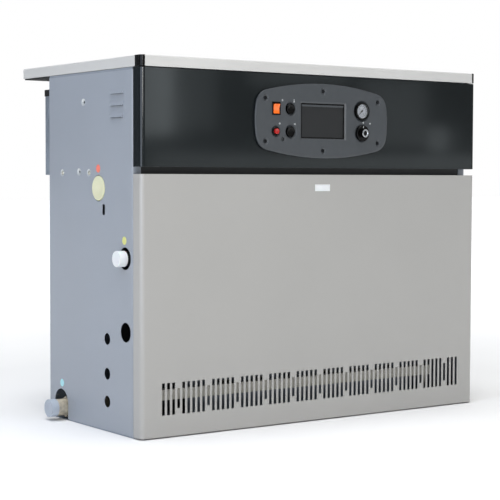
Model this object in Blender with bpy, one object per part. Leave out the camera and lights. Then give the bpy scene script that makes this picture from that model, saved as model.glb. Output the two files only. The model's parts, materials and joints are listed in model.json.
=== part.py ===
"""Floor-standing atmospheric gas boiler: burner set, cast-iron body, controls and casing.

Frame: metres, +X to the right, the front faces -Y, +Z up. The origin is on the floor, under the
middle of the lid.
"""
import math

import bmesh
import bpy
from mathutils import Vector

# ---- Driving dimensions ---------------------------------------------------------------------
GAP = 0.0003                # clearance between pieces that touch

# Casing. Depths (D_) are measured from the front plane towards the back.
WIDTH = 1.000
HEIGHT = 0.850
LID_DEPTH = 0.566
CASE_DEPTH = 0.429          # front plane to the back of the side panels
PANEL_FRONT = 0.037         # front plane to the side panel's front fold
PANEL_FLANGE = 0.022
PANEL_DROP = 0.0305         # the lid's top to the side panels' top
PANEL_BOTTOM = 0.003
PANEL_BEND = 0.004
SHEET = 0.0012
LID_FLANGE = 0.0246
CORNER_WIDTH = 0.010
CORNER_DEPTH = 0.027
CORNER_ROUND = 0.009

# Base pan, posts and rail
PAN_SHEET = 0.0015
PAN_FLANGE = 0.025
POST_SIZE = 0.025
POST_DEPTH = 0.011
POST_CLEAR = 0.001          # around the gas pipe, where it passes behind the left post
RAIL_ABOVE, RAIL_BELOW = 0.0350, 0.0292     # how far the rail goes behind the fascia and the door
RAIL_DEPTH = 0.018
CATCH_X = 0.400
CATCH_WIDTH = 0.020
CATCH_HEIGHT = 0.014

# Door and its grille
DOOR_BOTTOM = 0.003
RECESS_HEIGHT = 0.0155      # finger recess between the door and the fascia
FRONT_RETURN = 0.034        # depth of the door's and the fascia's side returns
DOOR_ROUND = 0.012
GRILLE_PITCH = 0.0134
GRILLE_GROUPS = 10          # groups of five long slots between the short ones
SLOT_WIDTH = 0.0075
SLOT_LONG = 0.072
SLOT_SHORT = 0.045
GRILLE_Z = 0.0875
BADGE_X, BADGE_DROP = 0.0035, 0.0312
BADGE_WIDTH, BADGE_HEIGHT = 0.045, 0.016
BADGE_THICK = 0.0008

# Fascia and control plate
FASCIA_DROP = 0.0265        # the lid's top to the fascia's top
FASCIA_HEIGHT = 0.2188
FASCIA_WALL = 0.0025
FASCIA_ROUND = 0.010
PLATE_RISE = 0.1113         # fascia's lower edge to the plate's middle
PLATE_HALF_WIDTH = 0.1990
PLATE_HALF_HEIGHT = 0.0885
PLATE_BOW_ROUND = 0.75      # radius of the long edges
PLATE_END_ROUND = 0.225     # radius of the short edges
PLATE_CORNER = 0.038
PLATE_PROUD = 0.008
PLATE_EDGE = 0.003
BOX_HALF_WIDTH = 0.186
BOX_DROP = 0.0305           # fascia's top to the control box's top
BOX_BACK = 0.095
WINDOW_WIDTH, WINDOW_HEIGHT = 0.130, 0.083
CONTROL_X = 0.1175          # gauge and knob column, from the middle
CAP_X = -0.0965
SWITCH_X = -0.1400
CONTROL_RISE = 0.0265       # upper and lower rows, from the plate's middle
ROCKER_WIDTH, ROCKER_HEIGHT = 0.0160, 0.0225
ROCKER_REST = 7.0           # degrees either side of level
LOCKOUT_R = 0.0065
LOCKOUT_TRAVEL = 0.003
CAP_R = 0.0118
GAUGE_R = 0.0215
DIAL_R = 0.0172
KNOB_R = 0.0190
KNOB_HUB_R = 0.0110
SHAFT_R = 0.0030

# Side panel openings: depth from the front plane, height, radius
GAS_AT, GAS_HOLE_R = (0.0695, 0.400), 0.0255
FLOW_AT, FLOW_HOLE_R = (0.1886, 0.5565), 0.0300
RETURN_AT = (0.360, 0.030)
ARCH_FRONT, ARCH_BACK, ARCH_TOP = 0.338, 0.404, 0.073
CABLE_HOLES = ((0.0673, 0.2346, 0.0225), (0.150, 0.213, 0.0135), (0.150, 0.133, 0.0135),
               (0.150, 0.069, 0.0135))
SCREW_HOLES = ((0.363, 0.592), (0.281, 0.594), (0.234, 0.592))
TOP_SCREW_D, TOP_SCREW_DROP = 0.259, 0.0640
SCREW_HOLE_R = 0.004
KEYHOLE_AT, KEYHOLE_SIZE = (0.1653, 0.5078), (0.012, 0.025)
LOUVRE_FRONT, LOUVRE_BACK = 0.0757, 0.1325
LOUVRE_DROPS = (0.0460, 0.0725, 0.0990)     # from the side panel's top
LOUVRE_PROUD, LOUVRE_HALF = 0.005, 0.008

# Cast-iron body
BODY_X = 0.030              # middle of the body, right of the casing's middle
SECTIONS = 7
SECTION_PITCH = 0.100
SECTION_GAP = 0.002
SECTION_FRONT, SECTION_BACK = 0.105, 0.400
SECTION_TOP = 0.600
CHAMBER_TOP = 0.232
LEG_FRONT = 0.318
UPPER_ROD, LOWER_ROD = (0.300, 0.565), (0.360, 0.160)
ROD_R = 0.0065
PORT_R = 0.0210

# Water pipes
FLOW_R, FLOW_WALL = 0.0242, 0.0029
FLOW_CAP_R, FLOW_CAP_INSET = 0.0285, -0.0015
RETURN_R, RETURN_WALL = 0.0200, 0.0028
RETURN_CAP_END = 0.0415     # how far the cap stands out of the side panel
RETURN_CAP_LENGTH = 0.019
DRAIN_X = -0.462
DRAIN_R = 0.0085

# Gas line
GAS_R, GAS_WALL = 0.0168, 0.0026
GAS_CAP_END = 0.0235
GAS_CAP_LENGTH = 0.021
CAP_WALL = 0.0009
VALVE_X = -0.4300
VALVE_BOTTOM, VALVE_TOP = 0.205, 0.300
VALVE_WIDTH, VALVE_DEPTH = 0.066, 0.056
MANIFOLD_D, MANIFOLD_Z, MANIFOLD_SIZE = 0.060, 0.089, 0.024
MANIFOLD_END = 0.395
INJECTOR_LENGTH = 0.012

# Burners
BURNER_MOUTH, BURNER_END = 0.0790, 0.300
BURNER_MOUTH_R, BURNER_THROAT_R = 0.0185, 0.0150
BURNER_HALF_WIDTH, BURNER_TOP = 0.0210, 0.134
BURNER_WALL = 0.0010
TRAY_D, TRAY_SHEET = 0.098, 0.002

# Flue way
COLLECTOR_TOP = 0.760
WINDOW_BOTTOM, WINDOW_TOP = 0.620, 0.745
WINDOW_SIDE = 0.020
HOOD_INSET = 0.051          # from the casing's side to the hood's side
HOOD_BACK = 0.548
HOOD_BOTTOM, HOOD_TOP = 0.587, 0.798
HOOD_SHEET = 0.0015
SPIGOT_R, SPIGOT_END = 0.090, 0.600

# ---- Values that follow ---------------------------------------------------------------------
FRONT = -LID_DEPTH / 2
HALF = WIDTH / 2
INNER = HALF - SHEET - GAP                  # inside face of the side panels, with clearance
PAN_FRONT = PANEL_FRONT + SHEET + GAP
PAN_BACK = CASE_DEPTH - SHEET - 2 * GAP
PAN_FLOOR = PAN_SHEET + GAP
POST_OUT = INNER - PAN_SHEET - GAP
BODY_HALF = SECTIONS * SECTION_PITCH / 2
BODY_LEFT = BODY_X - BODY_HALF
BURNERS = SECTIONS - 1
LID_TOP_INSIDE = HEIGHT - SHEET
PANEL_TOP = HEIGHT - PANEL_DROP
FASCIA_TOP = HEIGHT - FASCIA_DROP
FASCIA_BOTTOM = FASCIA_TOP - FASCIA_HEIGHT
DOOR_TOP = FASCIA_BOTTOM - RECESS_HEIGHT
BADGE_Z = DOOR_TOP - BADGE_DROP
RAIL_TOP = FASCIA_BOTTOM + RAIL_ABOVE
RAIL_BOTTOM = DOOR_TOP - RAIL_BELOW
PLATE_Z = FASCIA_BOTTOM + PLATE_RISE
BOX_TOP = FASCIA_TOP - BOX_DROP
ROUND = 20


def depth(d):
    """World Y of a depth measured from the front plane."""
    return FRONT + d


# ---- Materials ------------------------------------------------------------------------------
def material(name, colour, roughness, metallic=0.0):
    made = bpy.data.materials.new(name)
    made.use_nodes = True
    shader = made.node_tree.nodes["Principled BSDF"]
    shader.inputs["Base Color"].default_value = (*colour, 1.0)
    shader.inputs["Roughness"].default_value = roughness
    shader.inputs["Metallic"].default_value = metallic
    made.diffuse_color = (*colour, 1.0)
    return made


def make_materials():
    return {
        "side_paint": material("side_paint", (0.40, 0.45, 0.52), 0.42),
        "door_paint": material("door_paint", (0.46, 0.45, 0.43), 0.38),
        "zinc": material("zinc", (0.55, 0.55, 0.54), 0.40, 0.9),
        "black_gloss": material("black_gloss", (0.008, 0.010, 0.012), 0.12),
        "black_plastic": material("black_plastic", (0.015, 0.016, 0.018), 0.45),
        "grey_plastic": material("grey_plastic", (0.085, 0.09, 0.098), 0.55),
        "blank_plastic": material("blank_plastic", (0.028, 0.030, 0.032), 0.5),
        "orange_plastic": material("orange_plastic", (0.85, 0.16, 0.02), 0.3),
        "red_plastic": material("red_plastic", (0.45, 0.02, 0.02), 0.25),
        "white_plastic": material("white_plastic", (0.80, 0.82, 0.84), 0.4),
        "cream_plastic": material("cream_plastic", (0.72, 0.75, 0.50), 0.4),
        "pale_plastic": material("pale_plastic", (0.42, 0.48, 0.56), 0.4),
        "clear": material("clear", (0.8, 0.85, 0.88), 0.05),
        "cast_iron": material("cast_iron", (0.06, 0.06, 0.065), 0.75, 0.4),
        "steel": material("steel", (0.30, 0.30, 0.31), 0.4, 1.0),
        "stainless": material("stainless", (0.55, 0.54, 0.52), 0.3, 1.0),
        "brass": material("brass", (0.60, 0.42, 0.18), 0.35, 1.0),
    }


# ---- Shapes ---------------------------------------------------------------------------------
def at(axis, a, b, along):
    """A point from two coordinates across an axis and one along it."""
    return {"X": (along, a, b), "Y": (a, along, b), "Z": (a, b, along)}[axis]


def finish(name, bm, finish_name):
    bmesh.ops.remove_doubles(bm, verts=bm.verts, dist=1e-7)
    bmesh.ops.recalc_face_normals(bm, faces=bm.faces)
    mesh = bpy.data.meshes.new(name)
    bm.to_mesh(mesh)
    bm.free()
    made = bpy.data.objects.new(name, mesh)
    bpy.context.scene.collection.objects.link(made)
    if finish_name:
        mesh.materials.append(MATERIALS[finish_name])
    return made


def add_prism(bm, outline, axis, start, end):
    near = [bm.verts.new(at(axis, a, b, start)) for a, b in outline]
    far = [bm.verts.new(at(axis, a, b, end)) for a, b in outline]
    bm.faces.new(near)
    bm.faces.new(far)
    for i in range(len(outline)):
        j = (i + 1) % len(outline)
        bm.faces.new((near[i], near[j], far[j], far[i]))


def prism(name, outline, axis, start, end, finish_name=None):
    """An outline across an axis, extruded along it."""
    return prisms(name, [outline], axis, start, end, finish_name)


def prisms(name, outlines, axis, start, end, finish_name=None):
    bm = bmesh.new()
    for outline in outlines:
        add_prism(bm, outline, axis, start, end)
    return finish(name, bm, finish_name)


def box(name, low, high, finish_name=None):
    return prism(name, rectangle(low[0], high[0], low[1], high[1]), "Z", low[2], high[2], finish_name)


def rectangle(a0, a1, b0, b1):
    return [(a0, b0), (a1, b0), (a1, b1), (a0, b1)]


def circle(centre, radius, count=ROUND):
    steps = [2 * math.pi * i / count for i in range(count)]
    return [(centre[0] + radius * math.cos(t), centre[1] + radius * math.sin(t)) for t in steps]


def arc(centre, radius, start, end, count):
    """Points along an arc, both ends included. Angles are in degrees."""
    steps = [math.radians(start + (end - start) * i / count) for i in range(count + 1)]
    return [(centre[0] + radius * math.cos(t), centre[1] + radius * math.sin(t)) for t in steps]


def front_rounded(half, front, back, radius, count=6):
    """A plan outline whose two front corners are rounded."""
    left = arc((-half + radius, front + radius), radius, 180, 270, count)
    right = arc((half - radius, front + radius), radius, 270, 360, count)
    return left + right + [(half, back), (-half, back)]


def rounded_rectangle(a0, a1, b0, b1, radius, count=4):
    return (arc((a1 - radius, b0 + radius), radius, -90, 0, count)
            + arc((a1 - radius, b1 - radius), radius, 0, 90, count)
            + arc((a0 + radius, b1 - radius), radius, 90, 180, count)
            + arc((a0 + radius, b0 + radius), radius, 180, 270, count))


def turned(name, profile, axis, centre, finish_name=None, count=ROUND):
    """A closed profile of (radius, place along the axis), turned about the axis."""
    bm = bmesh.new()
    across = {"X": (Vector((0, 1, 0)), Vector((1, 0, 0))), "Y": (Vector((1, 0, 0)), Vector((0, 1, 0))),
              "Z": (Vector((1, 0, 0)), Vector((0, 0, 1)))}[axis]
    middle = Vector(at(axis, centre[0], centre[1], 0))
    ring = [bm.verts.new(middle + across[0] * r + across[1] * along) for r, along in profile]
    closes = profile[0][0] > 0 or profile[-1][0] > 0
    pairs = list(zip(ring, ring[1:] + ring[:1])) if closes else list(zip(ring, ring[1:]))
    edges = [bm.edges.new(pair) for pair in pairs]
    bmesh.ops.spin(bm, geom=ring + edges, cent=middle, axis=across[1], steps=count,
                   angle=2 * math.pi, use_merge=True)
    bmesh.ops.remove_doubles(bm, verts=bm.verts, dist=1e-6)
    bmesh.ops.dissolve_degenerate(bm, dist=1e-7, edges=bm.edges)
    made = finish(name, bm, finish_name)
    smooth(made)
    return made


def smooth(obj):
    obj.data.shade_smooth()
    obj.data.set_sharp_from_angle(angle=math.radians(35))


def swept_tube(name, points, outer, inner, finish_name, count=12):
    """A tube along a path that lies in one upright plane across the depth."""
    bm = bmesh.new()
    path = [Vector(p) for p in points]
    rings = []
    for i, place in enumerate(path):
        ahead = path[min(i + 1, len(path) - 1)] - path[max(i - 1, 0)]
        ahead.normalize()
        side = Vector((0, 1, 0))
        up = side.cross(ahead)
        turns = [2 * math.pi * k / count for k in range(count)]
        rings.append([[bm.verts.new(place + (side * math.cos(t) + up * math.sin(t)) * r) for t in turns]
                      for r in (outer, inner)])
    for skin in (0, 1):
        for here, there in zip(rings, rings[1:]):
            for k in range(count):
                n = (k + 1) % count
                bm.faces.new((here[skin][k], here[skin][n], there[skin][n], there[skin][k]))
    for end in (rings[0], rings[-1]):
        for k in range(count):
            n = (k + 1) % count
            bm.faces.new((end[0][k], end[0][n], end[1][n], end[1][k]))
    made = finish(name, bm, finish_name)
    smooth(made)
    return made


def combine(target, tool, operation):
    tool.hide_render = True
    tool.display_type = "WIRE"
    modifier = target.modifiers.new(operation.title(), "BOOLEAN")
    modifier.operation = operation
    modifier.object = tool
    return target


def cut(target, tool):
    return combine(target, tool, "DIFFERENCE")


def join(target, tool):
    return combine(target, tool, "UNION")


def bevelled(obj, width, segments=2):
    modifier = obj.modifiers.new("Edges", "BEVEL")
    modifier.width = width
    modifier.segments = segments
    modifier.limit_method = "ANGLE"
    modifier.angle_limit = math.radians(40)
    return obj


def pivot(obj, place):
    """Moves an object's origin to a place and leaves its shape where it is."""
    shift = Vector(place)
    for vertex in obj.data.vertices:
        vertex.co -= shift
    obj.location = shift
    return obj


# ---- Casing ---------------------------------------------------------------------------------
def make_base():
    low, high = (-INNER, depth(PAN_FRONT), 0.0), (INNER, depth(PAN_BACK), PAN_FLANGE)
    # The pan's front corners follow the bend of the side panels.
    plan = front_rounded(INNER, low[1], high[1], PANEL_BEND - SHEET - GAP, 3)
    pan = prism("base_pan", plan, "Z", low[2], high[2], "zinc")
    cut(pan, box("cut_pan", (low[0] + PAN_SHEET, low[1] + PAN_SHEET, PAN_SHEET),
                 (high[0] - PAN_SHEET, high[1] - PAN_SHEET, PAN_FLANGE * 2)))
    # The arch in the left panel goes on through the pan's flange.
    cut(pan, box("cut_pan_arch", (-HALF, depth(ARCH_FRONT), PAN_SHEET),
                 (-INNER + 2 * PAN_SHEET, depth(ARCH_BACK), PAN_FLANGE * 2)))


def side_sheet(side):
    """The plan outline of a side panel: a long wall with a fold across the front."""
    out, front, t = side * HALF, depth(PANEL_FRONT), SHEET
    centre = (out - side * PANEL_BEND, front + PANEL_BEND)
    turn = (180, 270) if side < 0 else (0, -90)
    outer = arc(centre, PANEL_BEND, *turn, 4)
    inner = arc(centre, PANEL_BEND - t, turn[1], turn[0], 4)
    flange_end = out - side * PANEL_FLANGE
    back = depth(CASE_DEPTH)
    return [(out, back)] + outer + [(flange_end, front), (flange_end, front + t)] + inner + [(out - side * t, back)]


def add_louvres(panel, side):
    """Louvres pressed outwards, each open along its lower edge."""
    out = side * HALF
    for i, drop in enumerate(LOUVRE_DROPS):
        z = PANEL_TOP - drop
        for step, tool in ((0.0, join), (SHEET, cut)):
            top, low = z + LOUVRE_HALF - step * 1.5, z - LOUVRE_HALF * 0.6 - step * 0.5
            start, end = depth(LOUVRE_FRONT) + step, depth(LOUVRE_BACK) - step
            tip = out + side * (LOUVRE_PROUD - step)
            root = out - side * (SHEET / 2 + step)
            outline = [(root, top), (root, low), (tip, low), (out, top)]
            wedge = prism(f"louvre_{panel.name}_{i}_{tool.__name__}", outline, "Y", start, end)
            tool(panel, wedge)


def make_side_panels():
    for side, word in ((-1, "left"), (1, "right")):
        panel = prism(f"side_panel_{word}", side_sheet(side), "Z", PANEL_BOTTOM, PANEL_TOP, "side_paint")
        add_louvres(panel, side)
        spots = SCREW_HOLES + ((TOP_SCREW_D, PANEL_TOP - TOP_SCREW_DROP),)
        holes = [circle((depth(d), z), SCREW_HOLE_R, 12) for d, z in spots]
        if side < 0:
            holes += [circle((depth(d), z), r) for d, z, r in CABLE_HOLES]
            holes.append(circle((depth(GAS_AT[0]), GAS_AT[1]), GAS_HOLE_R))
            holes.append(circle((depth(FLOW_AT[0]), FLOW_AT[1]), FLOW_HOLE_R))
            wide, tall = KEYHOLE_SIZE
            d, z = depth(KEYHOLE_AT[0]), KEYHOLE_AT[1]
            holes.append(rounded_rectangle(d - wide / 2, d + wide / 2, z - tall / 2, z + tall / 2, 0.004, 3))
            arch_r = (ARCH_BACK - ARCH_FRONT) / 2
            arch_mid = depth((ARCH_FRONT + ARCH_BACK) / 2)
            holes.append([(arch_mid - arch_r, 0.0)] + arc((arch_mid, ARCH_TOP - arch_r), arch_r, 180, 0, 16)
                         + [(arch_mid + arch_r, 0.0)])
        start = side * (HALF + LOUVRE_PROUD)
        cut(panel, prisms(f"cut_holes_{word}", holes, "X", start, side * (HALF - PANEL_BEND - 2 * SHEET)))


def make_rear_panel():
    panel = box("rear_panel", (-INNER, depth(CASE_DEPTH - SHEET - GAP), PANEL_BOTTOM),
                (INNER, depth(CASE_DEPTH - GAP), LID_TOP_INSIDE - GAP), "zinc")
    cut(panel, flue_window("cut_rear_window", CASE_DEPTH - 0.02, CASE_DEPTH + 0.02))


def make_frame():
    for side, word in ((-1, "left"), (1, "right")):
        out, inside = side * POST_OUT, side * (POST_OUT - POST_SIZE)
        front = depth(PAN_FRONT + PAN_SHEET + GAP)
        back = front + POST_DEPTH
        t = PAN_SHEET
        outline = [(out, front), (inside, front), (inside, front + t), (out - side * t, front + t),
                   (out - side * t, back), (out, back)]
        post = prism(f"frame_post_{word}", outline, "Z", PAN_FLOOR, LID_TOP_INSIDE - GAP, "zinc")
        if side < 0:
            pipe = circle((depth(GAS_AT[0]), GAS_AT[1]), GAS_R + POST_CLEAR)
            cut(post, prism("cut_post", pipe, "X", -HALF, inside + PAN_SHEET))
    # The rail's web is screwed to the posts between the side panels' front folds; its top edge
    # is folded back as a shelf for the control box.
    end = HALF - PANEL_FLANGE - GAP
    shelf_end = POST_OUT - POST_SIZE - GAP
    front, back = depth(PANEL_FRONT + SHEET + GAP), depth(PAN_FRONT + PAN_SHEET)
    rail = box("front_cross_rail", (-end, front, RAIL_BOTTOM), (end, back, RAIL_TOP), "black_plastic")
    join(rail, box("rail_shelf", (-shelf_end, (front + back) / 2, RAIL_TOP - PAN_SHEET),
                   (shelf_end, back + RAIL_DEPTH, RAIL_TOP)))
    for side, word in ((-1, "left"), (1, "right")):
        x = side * CATCH_X
        low = (x - CATCH_WIDTH / 2, depth(SHEET + GAP), RAIL_BOTTOM + 0.004)
        high = (x + CATCH_WIDTH / 2, front - GAP, RAIL_BOTTOM + 0.004 + CATCH_HEIGHT)
        bevelled(box(f"door_catch_{word}", low, high, "white_plastic"), 0.002, 1)


def make_lid():
    low, high = (-HALF, depth(0), HEIGHT - LID_FLANGE), (HALF, depth(LID_DEPTH), HEIGHT)
    lid = box("top_cover", low, high, "side_paint")
    cut(lid, box("cut_lid", (low[0] + SHEET, low[1] + SHEET, low[2] - SHEET),
                 (high[0] - SHEET, high[1] - SHEET, HEIGHT - SHEET)))
    for side, word in ((-1, "left"), (1, "right")):
        edges = sorted((side * (HALF - CORNER_WIDTH - GAP), side * (HALF + SHEET)))
        cut(lid, box(f"cut_corner_{word}", (edges[0], depth(-SHEET), low[2] - SHEET),
                     (edges[1], depth(CORNER_DEPTH + GAP), HEIGHT + SHEET)))
        outer = side * HALF
        inner = side * (HALF - CORNER_WIDTH)
        r = CORNER_ROUND
        turn = (180, 270) if side < 0 else (0, -90)
        outline = [(outer, depth(CORNER_DEPTH))] + arc((outer - side * r, depth(r)), r, *turn, 6)
        outline += [(inner, depth(0)), (inner, depth(CORNER_DEPTH))]
        prism(f"lid_corner_{word}", outline, "Z", low[2], HEIGHT, "black_plastic")


def make_door():
    door = prism("front_door", front_rounded(HALF, depth(0), depth(FRONT_RETURN), DOOR_ROUND),
                 "Z", DOOR_BOTTOM, DOOR_TOP, "door_paint")
    inside = front_rounded(HALF - SHEET, depth(SHEET), depth(FRONT_RETURN * 2), DOOR_ROUND - SHEET)
    cut(door, prism("cut_door", inside, "Z", DOOR_BOTTOM + SHEET, DOOR_TOP - SHEET))
    cut(door, prisms("cut_grille", grille_slots(), "Y", depth(-SHEET), depth(DOOR_ROUND)))
    box("door_badge", (BADGE_X - BADGE_WIDTH / 2, depth(-GAP - BADGE_THICK), BADGE_Z - BADGE_HEIGHT / 2),
        (BADGE_X + BADGE_WIDTH / 2, depth(-GAP), BADGE_Z + BADGE_HEIGHT / 2), "white_plastic")


def grille_slots():
    """Three long slots, then groups of five between short ones, then three long ones."""
    pattern = "LLLS" + "LLLLLS" * GRILLE_GROUPS + "LLL"
    start = -(len(pattern) - 1) / 2 * GRILLE_PITCH
    slots = []
    for i, kind in enumerate(pattern):
        x, half = start + i * GRILLE_PITCH, (SLOT_LONG if kind == "L" else SLOT_SHORT) / 2
        slots.append(rectangle(x - SLOT_WIDTH / 2, x + SLOT_WIDTH / 2, GRILLE_Z - half, GRILLE_Z + half))
    return slots


# ---- Controls -------------------------------------------------------------------------------
def barrel_outline(half_width, half_height):
    """Four bowed edges joined by rounded corners, anticlockwise."""
    long_r, end_r, r = PLATE_BOW_ROUND, PLATE_END_ROUND, PLATE_CORNER
    long_c, end_c = Vector((0, half_height - long_r)), Vector((half_width - end_r, 0))
    # The corner's centre lies a radius inside both big circles.
    between = end_c - long_c
    gap = between.length
    along = ((long_r - r) ** 2 - (end_r - r) ** 2 + gap ** 2) / (2 * gap)
    across = math.sqrt((long_r - r) ** 2 - along ** 2)
    unit = between / gap
    corner = long_c + unit * along + Vector((unit.y, -unit.x)) * across
    low = math.degrees(math.atan2(corner.y - end_c.y, corner.x - end_c.x))
    high = math.degrees(math.atan2(corner.y - long_c.y, corner.x - long_c.x))
    quarter = (arc(end_c, end_r, 0, low, 3)[:-1] + arc(corner, r, low, high, 5)[:-1]
               + arc(long_c, long_r, high, 90, 5))
    left = [(-x, z) for x, z in reversed(quarter[:-1])]
    upper = quarter + left
    lower = [(x, -z) for x, z in reversed(upper[1:-1])]
    return [(x, PLATE_Z + z) for x, z in upper + lower]


def control_spots():
    """The middle of each control on the plate, by name."""
    up, down = PLATE_Z + CONTROL_RISE, PLATE_Z - CONTROL_RISE
    return {"rocker": (SWITCH_X, up), "lockout": (SWITCH_X, down), "cap_upper": (CAP_X, up),
            "cap_lower": (CAP_X, down), "gauge": (CONTROL_X, up), "knob": (CONTROL_X, down)}


def make_fascia():
    fascia = prism("control_fascia", front_rounded(HALF, depth(0), depth(FRONT_RETURN), FASCIA_ROUND),
                   "Z", FASCIA_BOTTOM, FASCIA_TOP, "black_gloss")
    inside = front_rounded(HALF - FASCIA_WALL, depth(FASCIA_WALL), depth(FRONT_RETURN * 2),
                           FASCIA_ROUND - FASCIA_WALL)
    cut(fascia, prism("cut_fascia", inside, "Z", FASCIA_BOTTOM + FASCIA_WALL, FASCIA_TOP - FASCIA_WALL))
    low, high = PLATE_Z - 0.062, PLATE_Z + 0.062
    edge = BOX_HALF_WIDTH - 0.018
    cut(fascia, box("cut_fascia_window", (-edge, depth(-0.01), low), (edge, depth(0.02), high)))
    control_box = box("control_box", (-BOX_HALF_WIDTH, depth(FASCIA_WALL + GAP), RAIL_TOP + GAP),
                      (BOX_HALF_WIDTH, depth(BOX_BACK), BOX_TOP), "zinc")
    t = SHEET
    cut(control_box, box("cut_box", (-BOX_HALF_WIDTH + t, depth(0), RAIL_TOP + GAP + t),
                         (BOX_HALF_WIDTH - t, depth(BOX_BACK - t), BOX_TOP - t)))


def make_plate():
    plate = prism("control_plate", barrel_outline(PLATE_HALF_WIDTH, PLATE_HALF_HEIGHT), "Y",
                  depth(-PLATE_PROUD), depth(-GAP), "grey_plastic")
    edge = plate.modifiers.new("Edge", "BEVEL")
    edge.width = PLATE_EDGE
    edge.segments = 2
    edge.limit_method = "ANGLE"
    edge.angle_limit = math.radians(60)
    spots = control_spots()
    sizes = {"lockout": LOCKOUT_R + 0.003, "cap_upper": CAP_R + 0.0015, "cap_lower": CAP_R + 0.0015,
             "gauge": GAUGE_R - 0.0015, "knob": SHAFT_R + 0.002}
    holes = [circle(spots[name], radius) for name, radius in sizes.items()]
    x, z = spots["rocker"]
    holes.append(rectangle(x - 0.0100, x + 0.0100, z - 0.0132, z + 0.0132))
    half_w, half_h = WINDOW_WIDTH / 2, WINDOW_HEIGHT / 2
    holes.append(rounded_rectangle(-half_w, half_w, PLATE_Z - half_h, PLATE_Z + half_h, 0.002, 2))
    cut(plate, prisms("cut_plate", holes, "Y", depth(-0.02), depth(0.02)))


def make_blank():
    """The plate that closes the window for an optional controller: a face, and feet on the box."""
    half_w, half_h = WINDOW_WIDTH / 2 - GAP, WINDOW_HEIGHT / 2 - GAP
    blank = prism("regulator_blank", rounded_rectangle(-half_w, half_w, PLATE_Z - half_h, PLATE_Z + half_h,
                                                       0.002, 2), "Y", depth(-0.0035), depth(-0.001),
                  "blank_plastic")
    foot = 0.012
    feet = [rectangle(x - foot / 2, x + foot / 2, PLATE_Z - half_h + 0.004, PLATE_Z + half_h - 0.004)
            for x in (-half_w + foot, half_w - foot)]
    join(blank, prisms("blank_feet", feet, "Y", depth(-0.0012), depth(BOX_BACK - SHEET - GAP)))


def make_rocker():
    x, z = control_spots()["rocker"]
    face = depth(-PLATE_PROUD)
    frame = box("rocker_frame", (x - 0.0120, face - 0.0015, z - 0.0152), (x + 0.0120, face - GAP, z + 0.0152),
                "black_plastic")
    join(frame, box("rocker_body", (x - 0.0097, face - 0.001, z - 0.0129), (x + 0.0097, depth(0.016), z + 0.0129)))
    side, tall = ROCKER_WIDTH / 2 + GAP, ROCKER_HEIGHT / 2 + 0.0012
    cut(frame, box("cut_rocker", (x - side, face - 0.01, z - tall), (x + side, depth(0.008), z + tall)))
    # The rocker's outline is level about its pivot, then tipped to its rest side.
    pivot_y = depth(-0.0045)
    half = ROCKER_HEIGHT / 2
    outline = [(-0.0075, half), (-0.0052, 0.0), (-0.0075, -half), (0.002, -half * 0.8), (0.006, 0.0),
               (0.002, half * 0.8)]
    tip = math.radians(ROCKER_REST)
    tipped = [(pivot_y + y * math.cos(tip) - h * math.sin(tip), z + y * math.sin(tip) + h * math.cos(tip))
              for y, h in outline]
    rocker = prism("rocker_switch", tipped, "X", x - ROCKER_WIDTH / 2, x + ROCKER_WIDTH / 2, "orange_plastic")
    pivot(rocker, (x, pivot_y, z))


def make_lockout():
    spot = control_spots()["lockout"]
    face = depth(-PLATE_PROUD)
    outer, rim, hole = LOCKOUT_R + 0.0027, LOCKOUT_R + 0.0040, LOCKOUT_R + GAP
    turned("lockout_bezel", [(hole, face - 0.0015), (rim, face - 0.0015), (rim, face - GAP),
                             (outer, face - GAP), (outer, depth(0.014)), (hole, depth(0.014))],
           "Y", spot, "black_plastic")
    tip = face - 0.0015 - LOCKOUT_TRAVEL - 0.0008
    button = turned("lockout_button", [(0, tip), (LOCKOUT_R - 0.001, tip), (LOCKOUT_R, tip + 0.001),
                                       (LOCKOUT_R, depth(0.010)), (0, depth(0.010))],
                    "Y", spot, "red_plastic")
    pivot(button, (spot[0], tip, spot[1]))


def make_caps():
    face = depth(-PLATE_PROUD)
    stem_r, can_r = CAP_R - 0.003 - GAP, CAP_R + 0.0045
    cans = []
    for word in ("upper", "lower"):
        spot = control_spots()[f"cap_{word}"]
        # The cap screws on the stem of its limit thermostat.
        profile = [(0, face - 0.0005), (CAP_R - 0.0015, face - 0.0005), (CAP_R, face + 0.001),
                   (CAP_R, depth(0.004)), (CAP_R - 0.003, depth(0.004)), (CAP_R - 0.003, face + 0.004),
                   (0, face + 0.004)]
        cap = turned(f"reset_cap_{word}", profile, "Y", spot, "black_plastic")
        pivot(cap, (spot[0], face, spot[1]))
        cans.append(turned(f"limit_can_{word}",
                           [(0, face + 0.004 + GAP), (stem_r, face + 0.004 + GAP), (stem_r, depth(0.0043)),
                            (can_r, depth(0.0043)), (can_r, depth(0.034)), (0, depth(0.034))],
                           "Y", spot, "zinc"))
    # Both limit thermostats sit on one bracket that stands on the back of the control box.
    back = depth(BOX_BACK - SHEET - GAP)
    bracket = box("limit_thermostats", (CAP_X - 0.006, depth(0.030), PLATE_Z - CONTROL_RISE - 0.006),
                  (CAP_X + 0.006, back, PLATE_Z + CONTROL_RISE + 0.006), "zinc")
    for can in cans:
        join(bracket, can)


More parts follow.
